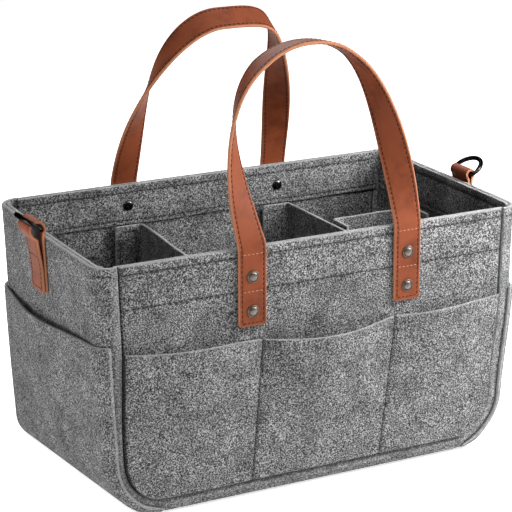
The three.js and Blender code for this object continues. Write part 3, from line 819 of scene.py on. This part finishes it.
def make_side_facing(name, side):
    """The band inside an end wall, turned a little way into both inner corners."""
    z = spread_out(FACING_FOOT, HEIGHT - FACING_DROP, 3.0, (FACING_STITCH, RIM_STITCH), 0.9, 2.0)
    rows = np.stack([np.full_like(z, math.pi / 2), z], -1)
    reach = curl_depth(rows)
    turns = np.linspace(FACING_WRAP, 0, 7)[:-1]
    flat = np.linspace(-1, 1, 46)
    press = facing_press(z)[:, None]
    grids = []
    for under, pressed in ((FELT + GAP, 0 * press), (FELT + GAP + FACING_FELT, press)):
        curl_y = DEPTH / 2 - reach + (reach - under) * np.sin(turns)
        curl_in = EDGE_RADIUS - (EDGE_RADIUS - under) * np.cos(turns)
        y = np.concatenate([-curl_y, (DEPTH / 2 - reach) * flat, curl_y[:, ::-1]], 1)
        inset = np.concatenate([curl_in, np.full_like(flat, under), curl_in[::-1]]) - pressed
        held = np.concatenate([1 - np.cos(turns), np.zeros_like(flat), 1 - np.cos(turns)[::-1]])
        grids.append(ripple(skin(rows, side, y, inset, held)))
    outer, inner = grids
    # The pressed stitch rows also get painted shade
    return felt_shell(name, inner, outer, inner_felt, np.broadcast_to(-press, outer.shape[:2]), 0.6), inner


def make_board():
    """The padded board on the floor, in the place of the solid one."""
    low, high = (np.array(v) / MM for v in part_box("base_board"))
    x, y = np.meshgrid(*(spread_out(low[k], high[k], 8.0) for k in (0, 1)))
    quilt = 0.35 * np.sin(x / 21) * np.sin(y / 17)
    top = np.stack([x, y, high[2] - 0.4 + quilt * 0.6], -1)
    under = np.stack([x, y, np.full_like(x, low[2])], -1)
    return felt_shell("base_board_cover", top, under, inner_felt, None, 1.6)


# Dividers

def folded_plan(corners, step=4.0):
    """Middle line of a sheet folded twice the same way, with its normals and place along it."""
    corners = np.asarray(corners, float)
    ways = unit(np.diff(corners, axis=0))
    turn = np.sign(np.cross(ways[0], ways[1]))
    sides = [turn * np.array([w[1], -w[0]]) for w in ways]
    line, out = [], []

    def straight(a, b, normal):
        count = max(2, round(np.linalg.norm(b - a) / step))
        for t in np.linspace(0, 1, count + 1)[:-1]:
            line.append(a + (b - a) * t)
            out.append(normal)

    start = corners[0]
    for corner, way, after, side in zip(corners[1:3], ways, ways[1:], sides):
        end = corner - way * FOLD_RADIUS
        straight(start, end, side)
        centre = end - side * FOLD_RADIUS
        for a in np.linspace(0, math.pi / 2, 7)[:-1]:
            normal = side * math.cos(a) + way * math.sin(a)
            line.append(centre + normal * FOLD_RADIUS)
            out.append(normal)
        start = corner + after * FOLD_RADIUS
    straight(start, corners[3], sides[2])
    line.append(corners[3])
    out.append(sides[2])
    line, out = np.array(line), np.array(out)
    return line, out, lengths_along(line)


def make_divider(name, corners, bow, foot_of=None):
    """A felt divider: a web with a flap at each end, each flap sewn down round its border."""
    line, out, walked = folded_plan(corners)
    total = walked[-1]
    rows = spread_out(FLOOR_TOP, DIVIDER_TOP, 5.0, (FRAME_FOOT, FRAME_HEAD), 1.0, 3.0)
    flap = FLAP_LENGTH - 4
    web = np.clip((walked - flap) / (total - 2 * flap), 0, 1)
    lean = bow * np.sin(math.pi * web) ** 2 * np.sin(2.2 * math.pi * web + 0.5)
    height = smooth((rows - FLOOR_TOP) / (DIVIDER_TOP - FLOOR_TOP))
    (near_x, near_y), (far_x, far_y) = corners[1:3]
    side_way = unit(np.array([far_y - near_y, near_x - far_x], float))
    middle = line[None] + (height[:, None] * lean[None])[..., None] * side_way
    into = np.minimum(walked, total - walked)
    on_flap = smooth((flap + 4 - into) / 3)
    edge = np.maximum(*(dip(into - mark, 1.1) for mark in FLAP_FRAME))[None]
    ends = np.maximum(dip(rows - FRAME_HEAD, 1.1), dip(rows - FRAME_FOOT, 1.1))[:, None]
    in_frame = smooth((into - 4) / 1.5) * smooth((22.5 - into) / 1.5)
    sunk = np.maximum(edge, ends * in_frame) * on_flap
    z = np.broadcast_to(rows[:, None], sunk.shape)
    if foot_of is not None:
        z = foot_of(middle[..., 0], z)

    def lay(by):
        return np.concatenate([middle + by[..., None] * out[None], z[..., None]], -1)

    half = np.full_like(sunk, DIVIDER_FELT / 2)
    face_out, face_in = lay(half), lay(0.55 * sunk - half)
    # Painted shade along the sunk stitch frame of each flap
    piece = felt_shell(name, face_out, face_in, inner_felt, -0.7 * sunk, 1.0)
    return piece, face_in, into, rows


def clear_of_corner(x, z):
    """Raises the long divider's foot over the rounded bottom corner of the gusset."""
    inset = FELT + 2.0
    radius = max(RIGHT["radii"])
    across = np.clip(x - (BASE_LENGTH / 2 - radius), 0, radius - inset)
    floor = radius - np.sqrt(np.maximum((radius - inset) ** 2 - across ** 2, 0))
    share = (DIVIDER_TOP - z) / (DIVIDER_TOP - FLOOR_TOP)
    return z + np.maximum(floor - FLOOR_TOP, 0) * share


def flap_stitches(face_in, into, rows, way):
    """Stitch rows of the sewn rectangle on each flap of a divider."""
    normals = surface_normals(face_in)
    sewn = []
    first, last = FLAP_FRAME
    upright = np.flatnonzero((rows > FRAME_FOOT) & (rows < FRAME_HEAD))
    for columns in np.split(np.arange(len(into)), [len(into) // 2]):
        level = columns[(into[columns] >= first) & (into[columns] <= last)]
        spots = [(upright, columns[np.argmin(np.abs(into[columns] - mark))]) for mark in FLAP_FRAME]
        spots += [(np.argmin(np.abs(rows - height)), level) for height in (FRAME_HEAD, FRAME_FOOT)]
        for spot in spots:
            path = face_in[spot]
            sewn.append(sew(path, facing(normals[spot], way(path[0])), 3.0, 1.0, 0.36))
    return gather(sewn)


# Leather

def strap_line(face):
    """Centres, width direction, face direction and length along one handle strap."""
    h = HANDLES[face]
    half = h["spacing"] / 2
    lean = math.radians(h["lean"])
    right = np.array([1, 0, 0])
    up = np.array([0, -face * math.sin(lean), math.cos(lean)])
    level = np.array([0, -math.cos(lean), -face * math.sin(lean)])
    t = np.linspace(0, 1, 400)[:, None]
    legs = [bezier(t, [(-half, 0), (-half - flare, reach), (-crown, h["rise"]), (0, h["rise"])])
            for flare, reach, crown in h["legs"]]
    arch = np.concatenate([legs[0], legs[1][-2::-1] * np.array([-1, 1])])
    arch[:, 0] += h["sway"] * smooth(arch[:, 1] / h["rise"])
    walked = lengths_along(arch)
    s = np.linspace(0, walked[-1], 240)
    arch = read_off(s, walked, arch)
    way = unit(np.gradient(arch, axis=0))
    risen = np.clip(np.minimum(s, s[-1] - s) / h["turn_length"], 0, 1)
    turn = math.radians(h["turn"]) * (smooth(risen) + h["early"] * (risen - smooth(risen)))
    flat_in = way[:, 1:] * right - way[:, :1] * up
    loop_flat = np.cos(turn)[:, None] * level + np.sin(turn)[:, None] * flat_in
    y = face * (DEPTH / 2 + GAP + STRAP_THICKNESS / 2)
    base = np.array([h["shift"], y, HEIGHT + HINGE_LIFT + GAP])
    loop = base + arch[:, :1] * right + arch[:, 1:] * up
    z = np.linspace(HEIGHT - h["drop"], HEIGHT, 40)
    low = np.stack([np.full_like(z, h["shift"] - half), np.full_like(z, y), z], -1)
    high = low[::-1] + 2 * half * right
    still = np.tile([0.0, -1.0, 0.0], (len(z), 1))
    centre = np.concatenate([low, loop, high])
    flat = np.concatenate([still, loop_flat, still])
    eased, flat = (np.stack([evened(column, 4, 2.2) for column in v.T], -1) for v in (centre, flat))
    eased[:5], eased[-5:] = centre[:5], centre[-5:]
    tangent = unit(np.gradient(eased, axis=0))
    flat = unit(flat - tangent * np.einsum("ij,ij->i", flat, tangent)[:, None])
    return eased, np.cross(tangent, flat), flat, lengths_along(eased)


def strap_section():
    """Half of the strap's section: across, height and tone, with eased edges and a sewing groove; the
    edges are pale and the groove gets painted shade.
    """
    flat = STRAP_WIDTH / 2 - STRAP_EDGE
    edge = flat + STRAP_EDGE * np.sin(np.linspace(0, math.pi / 2, 5))
    fine = np.arange(STITCH_OUT - 1.2, STITCH_OUT + 1.3, 0.4)
    w = np.unique(np.round(np.concatenate([np.linspace(-flat, flat, 15), fine, -fine, edge, -edge]), 4))
    round_off = np.sqrt(np.maximum(STRAP_EDGE ** 2 - np.maximum(np.abs(w) - flat, 0) ** 2, 0))
    groove = dip(np.abs(w) - STITCH_OUT, 0.55)
    hollow = STRAP_CROWN * (w / (STRAP_WIDTH / 2)) ** 2
    height = STRAP_THICKNESS / 2 - STRAP_EDGE + round_off - 0.34 * groove - hollow
    # Pale cut edges, and painted shade in the stitch groove
    painted_light_and_edge_wear = smooth((np.abs(w) - 11.0) / 1.2) - 0.45 * groove
    return w, height, painted_light_and_edge_wear


def make_strap(name, face):
    """One handle strap from foot to foot, with rounded corners at both ends."""
    line = strap_line(face)
    centre, wide, flat, length = line
    w, height, painted_light_and_edge_wear = strap_section()
    corner = STRAP_WIDTH / 8
    end = length[-1]
    tips = np.array([0.0, 0.35, 0.9, 1.6, 2.4, corner])
    between = length[np.minimum(length, end - length) > corner + 1]
    order = np.concatenate([tips, between, end - tips[::-1]])
    from_end = np.minimum(order, end - order)
    cut = corner - np.sqrt(np.maximum(corner ** 2 - np.maximum(corner - from_end, 0) ** 2, 0))
    narrow = 1 - cut / (STRAP_WIDTH / 2)
    thin = 0.45 + 0.55 * np.sqrt(np.clip(1 - (1 - np.clip(from_end / STRAP_EDGE, 0, 1)) ** 2, 0, 1))
    frames = [read_off(order, length, v) for v in (centre, wide, flat)]
    rings, worn = [], []
    for spot, wide_way, flat_way, width, depth, back in zip(*frames, narrow, thin, from_end):
        across = wide_way * (w * width)[:, None]
        out = flat_way * (height * depth)[:, None]
        rings.append(np.concatenate([spot + across + out, (spot + across - out)[::-1]]))
        worn.append(np.maximum(np.concatenate([painted_light_and_edge_wear, painted_light_and_edge_wear[::-1]]), smooth(1 - back / 1.4)))
    points, faces = [], []
    tube_rows(points, faces, rings)
    del faces[-2:]
    count = len(rings[0])
    last = (len(rings) - 1) * count
    for i in range(len(w) - 1):
        j = count - 1 - i
        faces.append([i, j, j - 1, i + 1])
        faces.append([last + i, last + i + 1, last + j - 1, last + j])
    return make_piece(name, ripple(np.array(points)), faces, tan_leather, np.concatenate(worn)), line


def strap_stitches(line, face):
    """Edge rows, a row across each foot, and the pale rows that hold the strap to the wall."""
    centre, wide, flat, length = line
    drop = HANDLES[face]["drop"]
    lift = STRAP_THICKNESS / 2 - 0.28
    inside = (length > FOOT_STITCH) & (length < length[-1] - FOOT_STITCH)
    dark, pale = [], []
    for hand in (-1, 1):
        for lay in (-1, 1):
            path = centre + wide * (STITCH_OUT * hand) + flat * (lift * lay)
            dark.append(sew(path[inside], flat[inside] * lay, 3.0, 1.15, 0.4))
    reach = np.linspace(-CROSS_REACH, CROSS_REACH, 12)[:, None]
    cross_rows = (
        (FOOT_STITCH, dark, (-1, 1), 0.4),
        (drop - (HEIGHT - CROSS_STITCH), pale, (-face,), 0.34),
        (drop - (HEIGHT - BAND_STITCH), pale, (-face,), 0.34),
    )
    for end in (0, length[-1]):
        for from_end, rows, lays, girth in cross_rows:
            spot, wide_way, flat_way = (
                read_off(abs(end - from_end), length, v) for v in (centre, wide, flat))
            for lay in lays:
                path = spot + wide_way * reach + flat_way * (lift + 0.12) * lay
                rows.append(sew(path, np.tile(flat_way * lay, (len(reach), 1)), 2.6, 0.8, girth))
    made = [gather(rows) for rows in (dark, pale)]
    return [(ripple(np.array(points)), faces) for points, faces in made]


def tab_frame(side):
    """Where a ring tab lies: its point on the rim, up the wall, out of it and across it."""
    def at(y, z):
        return skin(np.array([[math.pi / 2, z]]), side, [y], 0.0)[0, 0]

    rim = at(side["tab_y"], HEIGHT)
    up = unit(rim - at(side["tab_y"], HEIGHT - TAB_DROP))
    middle = HEIGHT - TAB_DROP / 2
    along = at(side["tab_y"] + TAB_WIDTH / 2, middle) - at(side["tab_y"] - TAB_WIDTH / 2, middle)
    out = unit(np.cross(along, up) * side["sign"])
    across = np.cross(up, out) * side["sign"]
    return rim, up, out, across


def ring_bar(side):
    """Middle and line of a ring's bar, on the hinge that the ring swings about."""
    rim, _, _, across = tab_frame(side)
    hinge = next(j for j in frame["record"]["behaviour"]["joints"] if j["name"] == side["hinge"])
    spot, line = np.array(hinge["pos_m"]) / MM, np.array(hinge["axis"])
    line = line * np.sign(line @ across)
    return spot + line * ((rim - spot) @ line), line


def make_tab(name, side):
    """Leather tab: two layers sewn together down the wall, looped over the bar of its ring."""
    rim, up, out, across = tab_frame(side)
    tilt = math.tan(math.radians(side["tab_tilt"]))

    def stand_off(u):
        """How far the loop holds the outer layer off the inner one."""
        return side["loop_slack"] * 0.46 * smooth((u + 30) / 29)

    def aside(u):
        """How far the tab hangs aside, along the rim."""
        return np.maximum(-u, 0) ** 2 / (np.maximum(-u, 0) + 8) * tilt

    bar = ring_bar(side)[0] - rim
    centre = np.array([bar @ out, bar @ up])
    degrees = np.linspace(-118, -422, 34)
    turns = np.radians(degrees)
    loop = WIRE_RADIUS + 2 * GAP + TAB_LEATHER / 2 + side["loop_slack"] * smooth((-degrees - 200) / 150)
    low = np.linspace(-TAB_DROP, -1.0, 24)
    path = np.concatenate([
        np.stack([np.full_like(low, GAP + TAB_LEATHER / 2), low], -1),
        centre + loop[:, None] * np.stack([np.cos(turns), np.sin(turns)], -1),
        np.stack([GAP + 1.5 * TAB_LEATHER + stand_off(low), low], -1)[::-1],
    ])
    for _ in range(2):
        path[1:-1] = (path[:-2] + 2 * path[1:-1] + path[2:]) / 4
    way = unit(np.gradient(path, axis=0))
    normal = np.stack([-way[:, 1], way[:, 0]], -1)
    reach = TAB_WIDTH / 2 - TAB_NARROWER
    w = spread_out(-reach, reach, 3.0, (-STITCH_OUT, STITCH_OUT), 0.6, 1.2)
    narrow = 1 - 0.14 * (1 - smooth((path[:, 1] + TAB_DROP) / 4.0)) ** 2

    def lay(by):
        spot = path[:, None] + normal[:, None] * by[..., None]
        across_by = (w[None] * narrow[:, None])[..., None] + aside(spot[..., 1:])
        return rim + spot[..., :1] * out + spot[..., 1:] * up + across_by * across

    groove = dip(np.abs(w) - STITCH_OUT, 0.6)
    half = np.full((len(path), len(w)), TAB_LEATHER / 2 - 0.04)
    over, under = lay(half), lay(-half)
    if ((over - under)[-1] @ out).mean() > 0:
        over = lay(half - 0.3 * groove)
    else:
        under = lay(0.3 * groove - half)
    # Painted shade along the stitch grooves
    worn = np.broadcast_to(-0.4 * groove, half.shape)
    piece = felt_shell(name, over, under, tan_leather, worn, 0.8)

    def row(u, by, lift, length, space):
        surface = GAP + 2 * TAB_LEATHER + lift + stand_off(u)
        spots = rim + surface * out + u * up + (by + aside(u)) * across
        return sew(spots, np.tile(out, (len(spots), 1)), length, space, 0.38)

    upright = np.linspace(-TAB_DROP + 3, TAB_STITCH_TOP, 30)[:, None]
    level = np.linspace(-CROSS_REACH, CROSS_REACH, 12)[:, None]
    sewn = [row(upright, hand * STITCH_OUT, -0.3, 3.0, 1.1) for hand in (-1, 1)]
    sewn += [row(u, level, -0.1, 2.6, 0.8) for u in (FOOT_STITCH - TAB_DROP, TAB_STITCH_TOP)]
    return piece, gather(sewn)


def make_ring(name, side):
    """D-ring of round wire: a straight bar in the tab and a rounded bow, a little thicker."""
    _, up, out, _ = tab_frame(side)
    bar_at, across = ring_bar(side)
    lean = math.radians(side["ring_lean"])
    away = out * math.cos(lean) + up * math.sin(lean)
    away = unit(away - across * (away @ across))
    half = TAB_WIDTH / 2 + 2 * GAP + WIRE_RADIUS
    bar = half - RING_CORNER
    third = RING_CORNER / 3
    circle = 0.5523
    bow = RING_CORNER + (RING_DEPTH - RING_CORNER) * circle
    curves = (
        (16, [(0, -bar), (0, -bar / 3), (0, bar / 3), (0, bar)]),
        (10, [(0, bar), (0, half - third), (third, half), (RING_CORNER, half)]),
        (26, [(RING_CORNER, half), (bow, half), (RING_DEPTH, half * circle), (RING_DEPTH, 0)]),
        (26, [(RING_DEPTH, 0), (RING_DEPTH, -half * circle), (bow, -half), (RING_CORNER, -half)]),
        (10, [(RING_CORNER, -half), (third, -half), (0, third - half), (0, -bar)]),
    )
    path = np.concatenate([
        bezier(np.linspace(0, 1, count, endpoint=False)[:, None], knots) for count, knots in curves])
    spots = bar_at + path[:, :1] * away + path[:, 1:] * across
    way = unit(np.roll(spots, -1, 0) - np.roll(spots, 1, 0))
    up_way = np.cross(away, across)
    side_way = np.cross(way, up_way)
    turns = np.arange(16)[:, None] / 16 * 2 * math.pi
    girth = WIRE_RADIUS + (RING_GIRTH - WIRE_RADIUS) * smooth((path[:, 0] - 4.0) / 5)
    rings = [spot + thick * (np.cos(turns) * up_way + np.sin(turns) * beside)
             for spot, thick, beside in zip(spots, girth, side_way)]
    points, faces = [], []
    tube_rows(points, faces, rings, closed=True)
    return make_piece(name, points, faces, black_nickel)


# Rivets, as radius, height and painted shade from the foot to the crown; below 0 is darker
CAP_PROFILE = (
    (0.3, -0.25, -1), (4.7, -0.25, -1), (5.1, 0.05, -1), (5.15, 0.5, -0.7), (4.95, 0.85, -0.2),
    (4.45, 0.98, -0.3), (4.1, 0.8, -0.9), (3.95, 0.72, -1), (3.8, 0.95, -0.8), (3.3, 1.45, -0.2),
    (2.4, 1.8, 0), (1.3, 1.97, 0), (0.3, 2.02, 0),
)
BACK_PROFILE = (
    (0.3, -0.2, 0), (4.4, -0.2, 0), (4.6, 0.1, 0), (4.6, 0.6, 0), (4.3, 1.1, 0),
    (3.6, 1.55, 0), (2.5, 1.85, 0), (1.2, 2.0, 0), (0.3, 2.02, 0),
)


def turned_piece(name, profile, centre, way, finish):
    """A part turned about a line along Y, from a profile of radius, height and painted shade."""
    turns = np.arange(40) / 40 * 2 * math.pi
    rings = []
    for radius, height, _ in profile:
        rings.append(np.stack([
            centre[0] + radius * np.cos(turns),
            np.full_like(turns, centre[1] + way * height),
            centre[2] + radius * np.sin(turns)], -1))
    points, faces = [], []
    tube_rows(points, faces, rings)
    worn = np.repeat([painted_light_and_edge_wear for _, _, painted_light_and_edge_wear in profile], len(turns))
    return make_piece(name, ripple(np.array(points)), faces, finish, worn)


def make_rivets(label, face, hand):
    """The two rivets of one strap foot: a domed cap outside and a black button inside."""
    handle = HANDLES[face]
    x = handle["shift"] + hand * handle["spacing"] / 2
    for level, drop in zip(("upper", "lower"), handle["rivets"]):
        z = HEIGHT - drop
        node = f"{label}_{level}_rivet"
        y = face * (DEPTH / 2 + GAP + STRAP_THICKNESS + 0.02)
        cap = turned_piece(node + "_dome", CAP_PROFILE, (x, y, z), face, pewter)
        backed = GAP + FACING_FELT if drop < FACING_HEIGHT else 0
        y = face * (INNER_FACE - backed - 0.05)
        button = turned_piece(node + "_button", BACK_PROFILE, (x, y, z), -face, black_plate)
        settle(cap, "caddy_body", "rivet_metal", node + "_cap")
        settle(button, "caddy_body", "rivet_back_metal", node + "_back")


# Assembly of the pieces

def settle(piece, body, slot, *nodes):
    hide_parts(*nodes)
    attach(piece, body)


def row_at(grid, level, column=25):
    """The row of a sheet's grid that lies nearest to a height, in one of its columns."""
    return np.argmin(np.abs(grid[:, column, 2] - level))


body_thread = []


def sew_row(grid, row, columns, way):
    """Stitches along one row or column of a sheet's grid."""
    normals = facing(surface_normals(grid)[row, columns], way)
    body_thread.append(sew(grid[row, columns], normals))


gusset, gusset_face = make_gusset()
settle(gusset, "caddy_body", "felt", "gusset")
half_way = len(gusset_face) // 2
for half_face in (gusset_face[:half_way], gusset_face[half_way:]):
    row = row_at(half_face, RIM_STITCH)
    for columns in (slice(2, 9), slice(-9, -2)):
        way = (*np.sign(half_face[row, columns, :2].mean(0)), 0)
        sew_row(half_face, row, columns, way)

for label, face in (("front", FRONT), ("back", BACK)):
    panel, panel_face = make_panel(f"{label}_wall_felt", face)
    settle(panel, "caddy_body", "felt", f"{label}_panel")
    for level in (RIM_STITCH, BAND_STITCH):
        sew_row(panel_face, row_at(panel_face, level), slice(3, -3), (0, face, 0))

    pocket, pocket_face, pouch_columns = make_pocket(f"{label}_pocket_felt", face)
    settle(pocket, "caddy_body", "felt", f"{label}_pocket")
    for column in (pouch_columns, 2 * pouch_columns):
        sew_row(pocket_face, slice(2, None), column, (0, face, 0))

    band, band_face = make_long_facing(f"{label}_band_felt", face)
    settle(band, "caddy_body", "liner_felt", f"{label}_facing")
    for level in (RIM_STITCH, FACING_STITCH):
        sew_row(band_face, row_at(band_face, level, 40), slice(2, -2), (0, -face, 0))

    strap, line = make_strap(f"{label}_strap", face)
    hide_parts(f"{label}_handle_loop", f"{label}_handle_left_end", f"{label}_handle_right_end")
    dark, pale = strap_stitches(line, face)
    edge_thread = make_piece(f"{label}_strap_edge_thread", *dark, brown_thread)
    cross_thread = make_piece(f"{label}_strap_cross_thread", *pale, tan_thread)
    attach(cross_thread, "caddy_body")
    for piece in (strap, edge_thread):
        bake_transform(piece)
    for end, hand in (("left", -1), ("right", 1)):
        make_rivets(f"{label}_{end}", face, hand)

for label, side in (("left", LEFT), ("right", RIGHT)):
    pocket = make_side_pocket(f"{label}_pocket_felt", side)
    settle(pocket, "caddy_body", "felt", f"{label}_pocket")
    band, band_face = make_side_facing(f"{label}_band_felt", side)
    settle(band, "caddy_body", "liner_felt", f"{label}_facing")
    for level in (RIM_STITCH, FACING_STITCH):
        sew_row(band_face, row_at(band_face, level, 20), slice(2, -2), (-side["sign"], 0, 0))
    tab, tab_rows = make_tab(f"{label}_tab", side)
    settle(tab, "caddy_body", "leather", f"{label}_ring_tab")
    tab_thread = make_piece(f"{label}_tab_thread", *tab_rows, brown_thread)
    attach(tab_thread, "caddy_body")
    ring = make_ring(f"{label}_wire_ring", side)
    settle(ring, f"{label}_d_ring", "ring_metal", f"{label}_ring")

settle(make_board(), "caddy_body", "board", "base_board")
thread = make_piece("body_thread", *gather(body_thread), grey_thread)
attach(thread, "caddy_body")

flap_middle = INNER_FACE - STAND_OFF - DIVIDER_FELT / 2
for label, (near, far), bow in (("left", LEFT_DIVIDER_X, 1.6), ("right", RIGHT_DIVIDER_X, 0.4)):
    corners = [(near - FLAP_LENGTH, -flap_middle), (near, -flap_middle), (far, flap_middle),
               (far - FLAP_LENGTH, flap_middle)]
    divider, face_in, into, rows = make_divider(f"{label}_divider_felt", corners, bow)
    settle(divider, f"{label}_cross_divider", "liner_felt", f"{label}_divider")
    sewn = flap_stitches(face_in, into, rows, lambda p: (0, -np.sign(p[1]), 0))
    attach(make_piece(f"{label}_divider_thread", *sewn, grey_thread), f"{label}_cross_divider")

start = LONG_DIVIDER_START
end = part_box("long_divider")[1].x / MM - DIVIDER_FELT / 2
corners = [(start, LONG_DIVIDER_Y - FLAP_LENGTH), (start, LONG_DIVIDER_Y), (end, LONG_DIVIDER_Y),
           (end, LONG_DIVIDER_Y - FLAP_LENGTH)]
divider, face_in, into, rows = make_divider("long_divider_felt", corners, 0.8, clear_of_corner)
settle(divider, "long_cross_divider", "liner_felt", "long_divider")
sewn = flap_stitches(face_in, into, rows, lambda p: (np.sign((start + end) / 2 - p[0]), 0, 0))
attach(make_piece("long_divider_thread", *sewn, grey_thread), "long_cross_divider")

for name, node in frame["nodes"].items():
    if name.endswith("_tape"):
        node.data.materials.clear()
        node.data.materials.append(hook_tape)


# Floor, light and camera, in metres

FLOOR_REACH = 6
FLOOR_LEVEL = -0.0004

# The photograph's camera: azimuth, elevation and roll in degrees, focal length in pixels
CAMERA_ANGLES = (-26.94, 17.88, -0.07)
CAMERA_TARGET = (0.00008, 0.00447, 0.16707)
CAMERA_DISTANCE = 1.70142
FOCAL_PIXELS = 1973.99
PHOTO_PIXELS = 512
SENSOR = 36


def make_floor():
    f = Finish("pale_floor")
    tone = f.ramp(f.noise(f.place(), 3, 2), (0.3, (0.93, 0.93, 0.93)), (0.7, (0.95, 0.95, 0.95)))
    mesh = bpy.data.meshes.new("floor")
    turns = ((-1, -1), (1, -1), (1, 1), (-1, 1))
    corners = [(x * FLOOR_REACH, y * FLOOR_REACH, FLOOR_LEVEL) for x, y in turns]
    mesh.from_pydata(corners, [], [(0, 1, 2, 3)])
    mesh.materials.append(f.finish({
        "Base Color": tone,
        "Roughness": 0.9,
        "Emission Color": tone,
        "Emission Strength": 0.8,
    }))
    floor = bpy.data.objects.new("floor", mesh)
    bpy.context.scene.collection.objects.link(floor)


def soft_light(name, place, target, size, power):
    light = bpy.data.lights.new(name, "AREA")
    light.shape = "DISK"
    light.size = size
    light.energy = power
    lamp = bpy.data.objects.new(name, light)
    lamp.visible_camera = False
    lamp.location = place
    lamp.rotation_euler = (Vector(target) - Vector(place)).to_track_quat("-Z", "Y").to_euler()
    bpy.context.scene.collection.objects.link(lamp)


def make_camera():
    azimuth, elevation, roll = (math.radians(angle) for angle in CAMERA_ANGLES)
    back = Vector((math.sin(azimuth) * math.cos(elevation), -math.cos(azimuth) * math.cos(elevation),
                   math.sin(elevation)))
    right = (-back).cross(Vector((0, 0, 1))).normalized()
    up = right.cross(-back)
    tilted = right * math.cos(roll) + up * math.sin(roll)
    upright = up * math.cos(roll) - right * math.sin(roll)
    data = bpy.data.cameras.new("camera")
    data.sensor_width = SENSOR
    data.lens = FOCAL_PIXELS / PHOTO_PIXELS * SENSOR
    data.clip_end = 50
    camera = bpy.data.objects.new("camera", data)
    camera.matrix_world = (Matrix.Translation(Vector(CAMERA_TARGET) + back * CAMERA_DISTANCE)
                           @ Matrix((tilted, upright, back)).transposed().to_4x4())
    bpy.context.scene.collection.objects.link(camera)
    bpy.context.scene.camera = camera


make_floor()
middle = (0.05, -0.05, 0.12)
right_rim = (0.12, -0.08, 0.2)
soft_light("key", (0.46, -0.30, 0.40), right_rim, 0.2, 5.4)
soft_light("high", (0.52, -0.40, 0.66), right_rim, 0.26, 3.8)
soft_light("front", (0.2, -0.5, 0.85), (0.0, 0.0, 0.25), 0.35, 4.9)
soft_light("left", (-0.9, -0.5, 0.9), (-0.08, 0.1, 0.3), 0.3, 3.9)
soft_light("low_fill", (-0.75, -0.15, 0.10), middle, 0.35, 3.2)
soft_light("behind", (0.3, 1.2, 1.4), middle, 0.8, 28)
world = bpy.data.worlds.new("studio")
world.use_nodes = True
sky = world.node_tree.nodes["Background"]
sky.inputs["Color"].default_value = paint((1, 1, 1))
sky.inputs["Strength"].default_value = 0.05
bpy.context.scene.world = world
bpy.context.scene.view_settings.view_transform = "Standard"
make_camera()

bpy.context.view_layer.update()
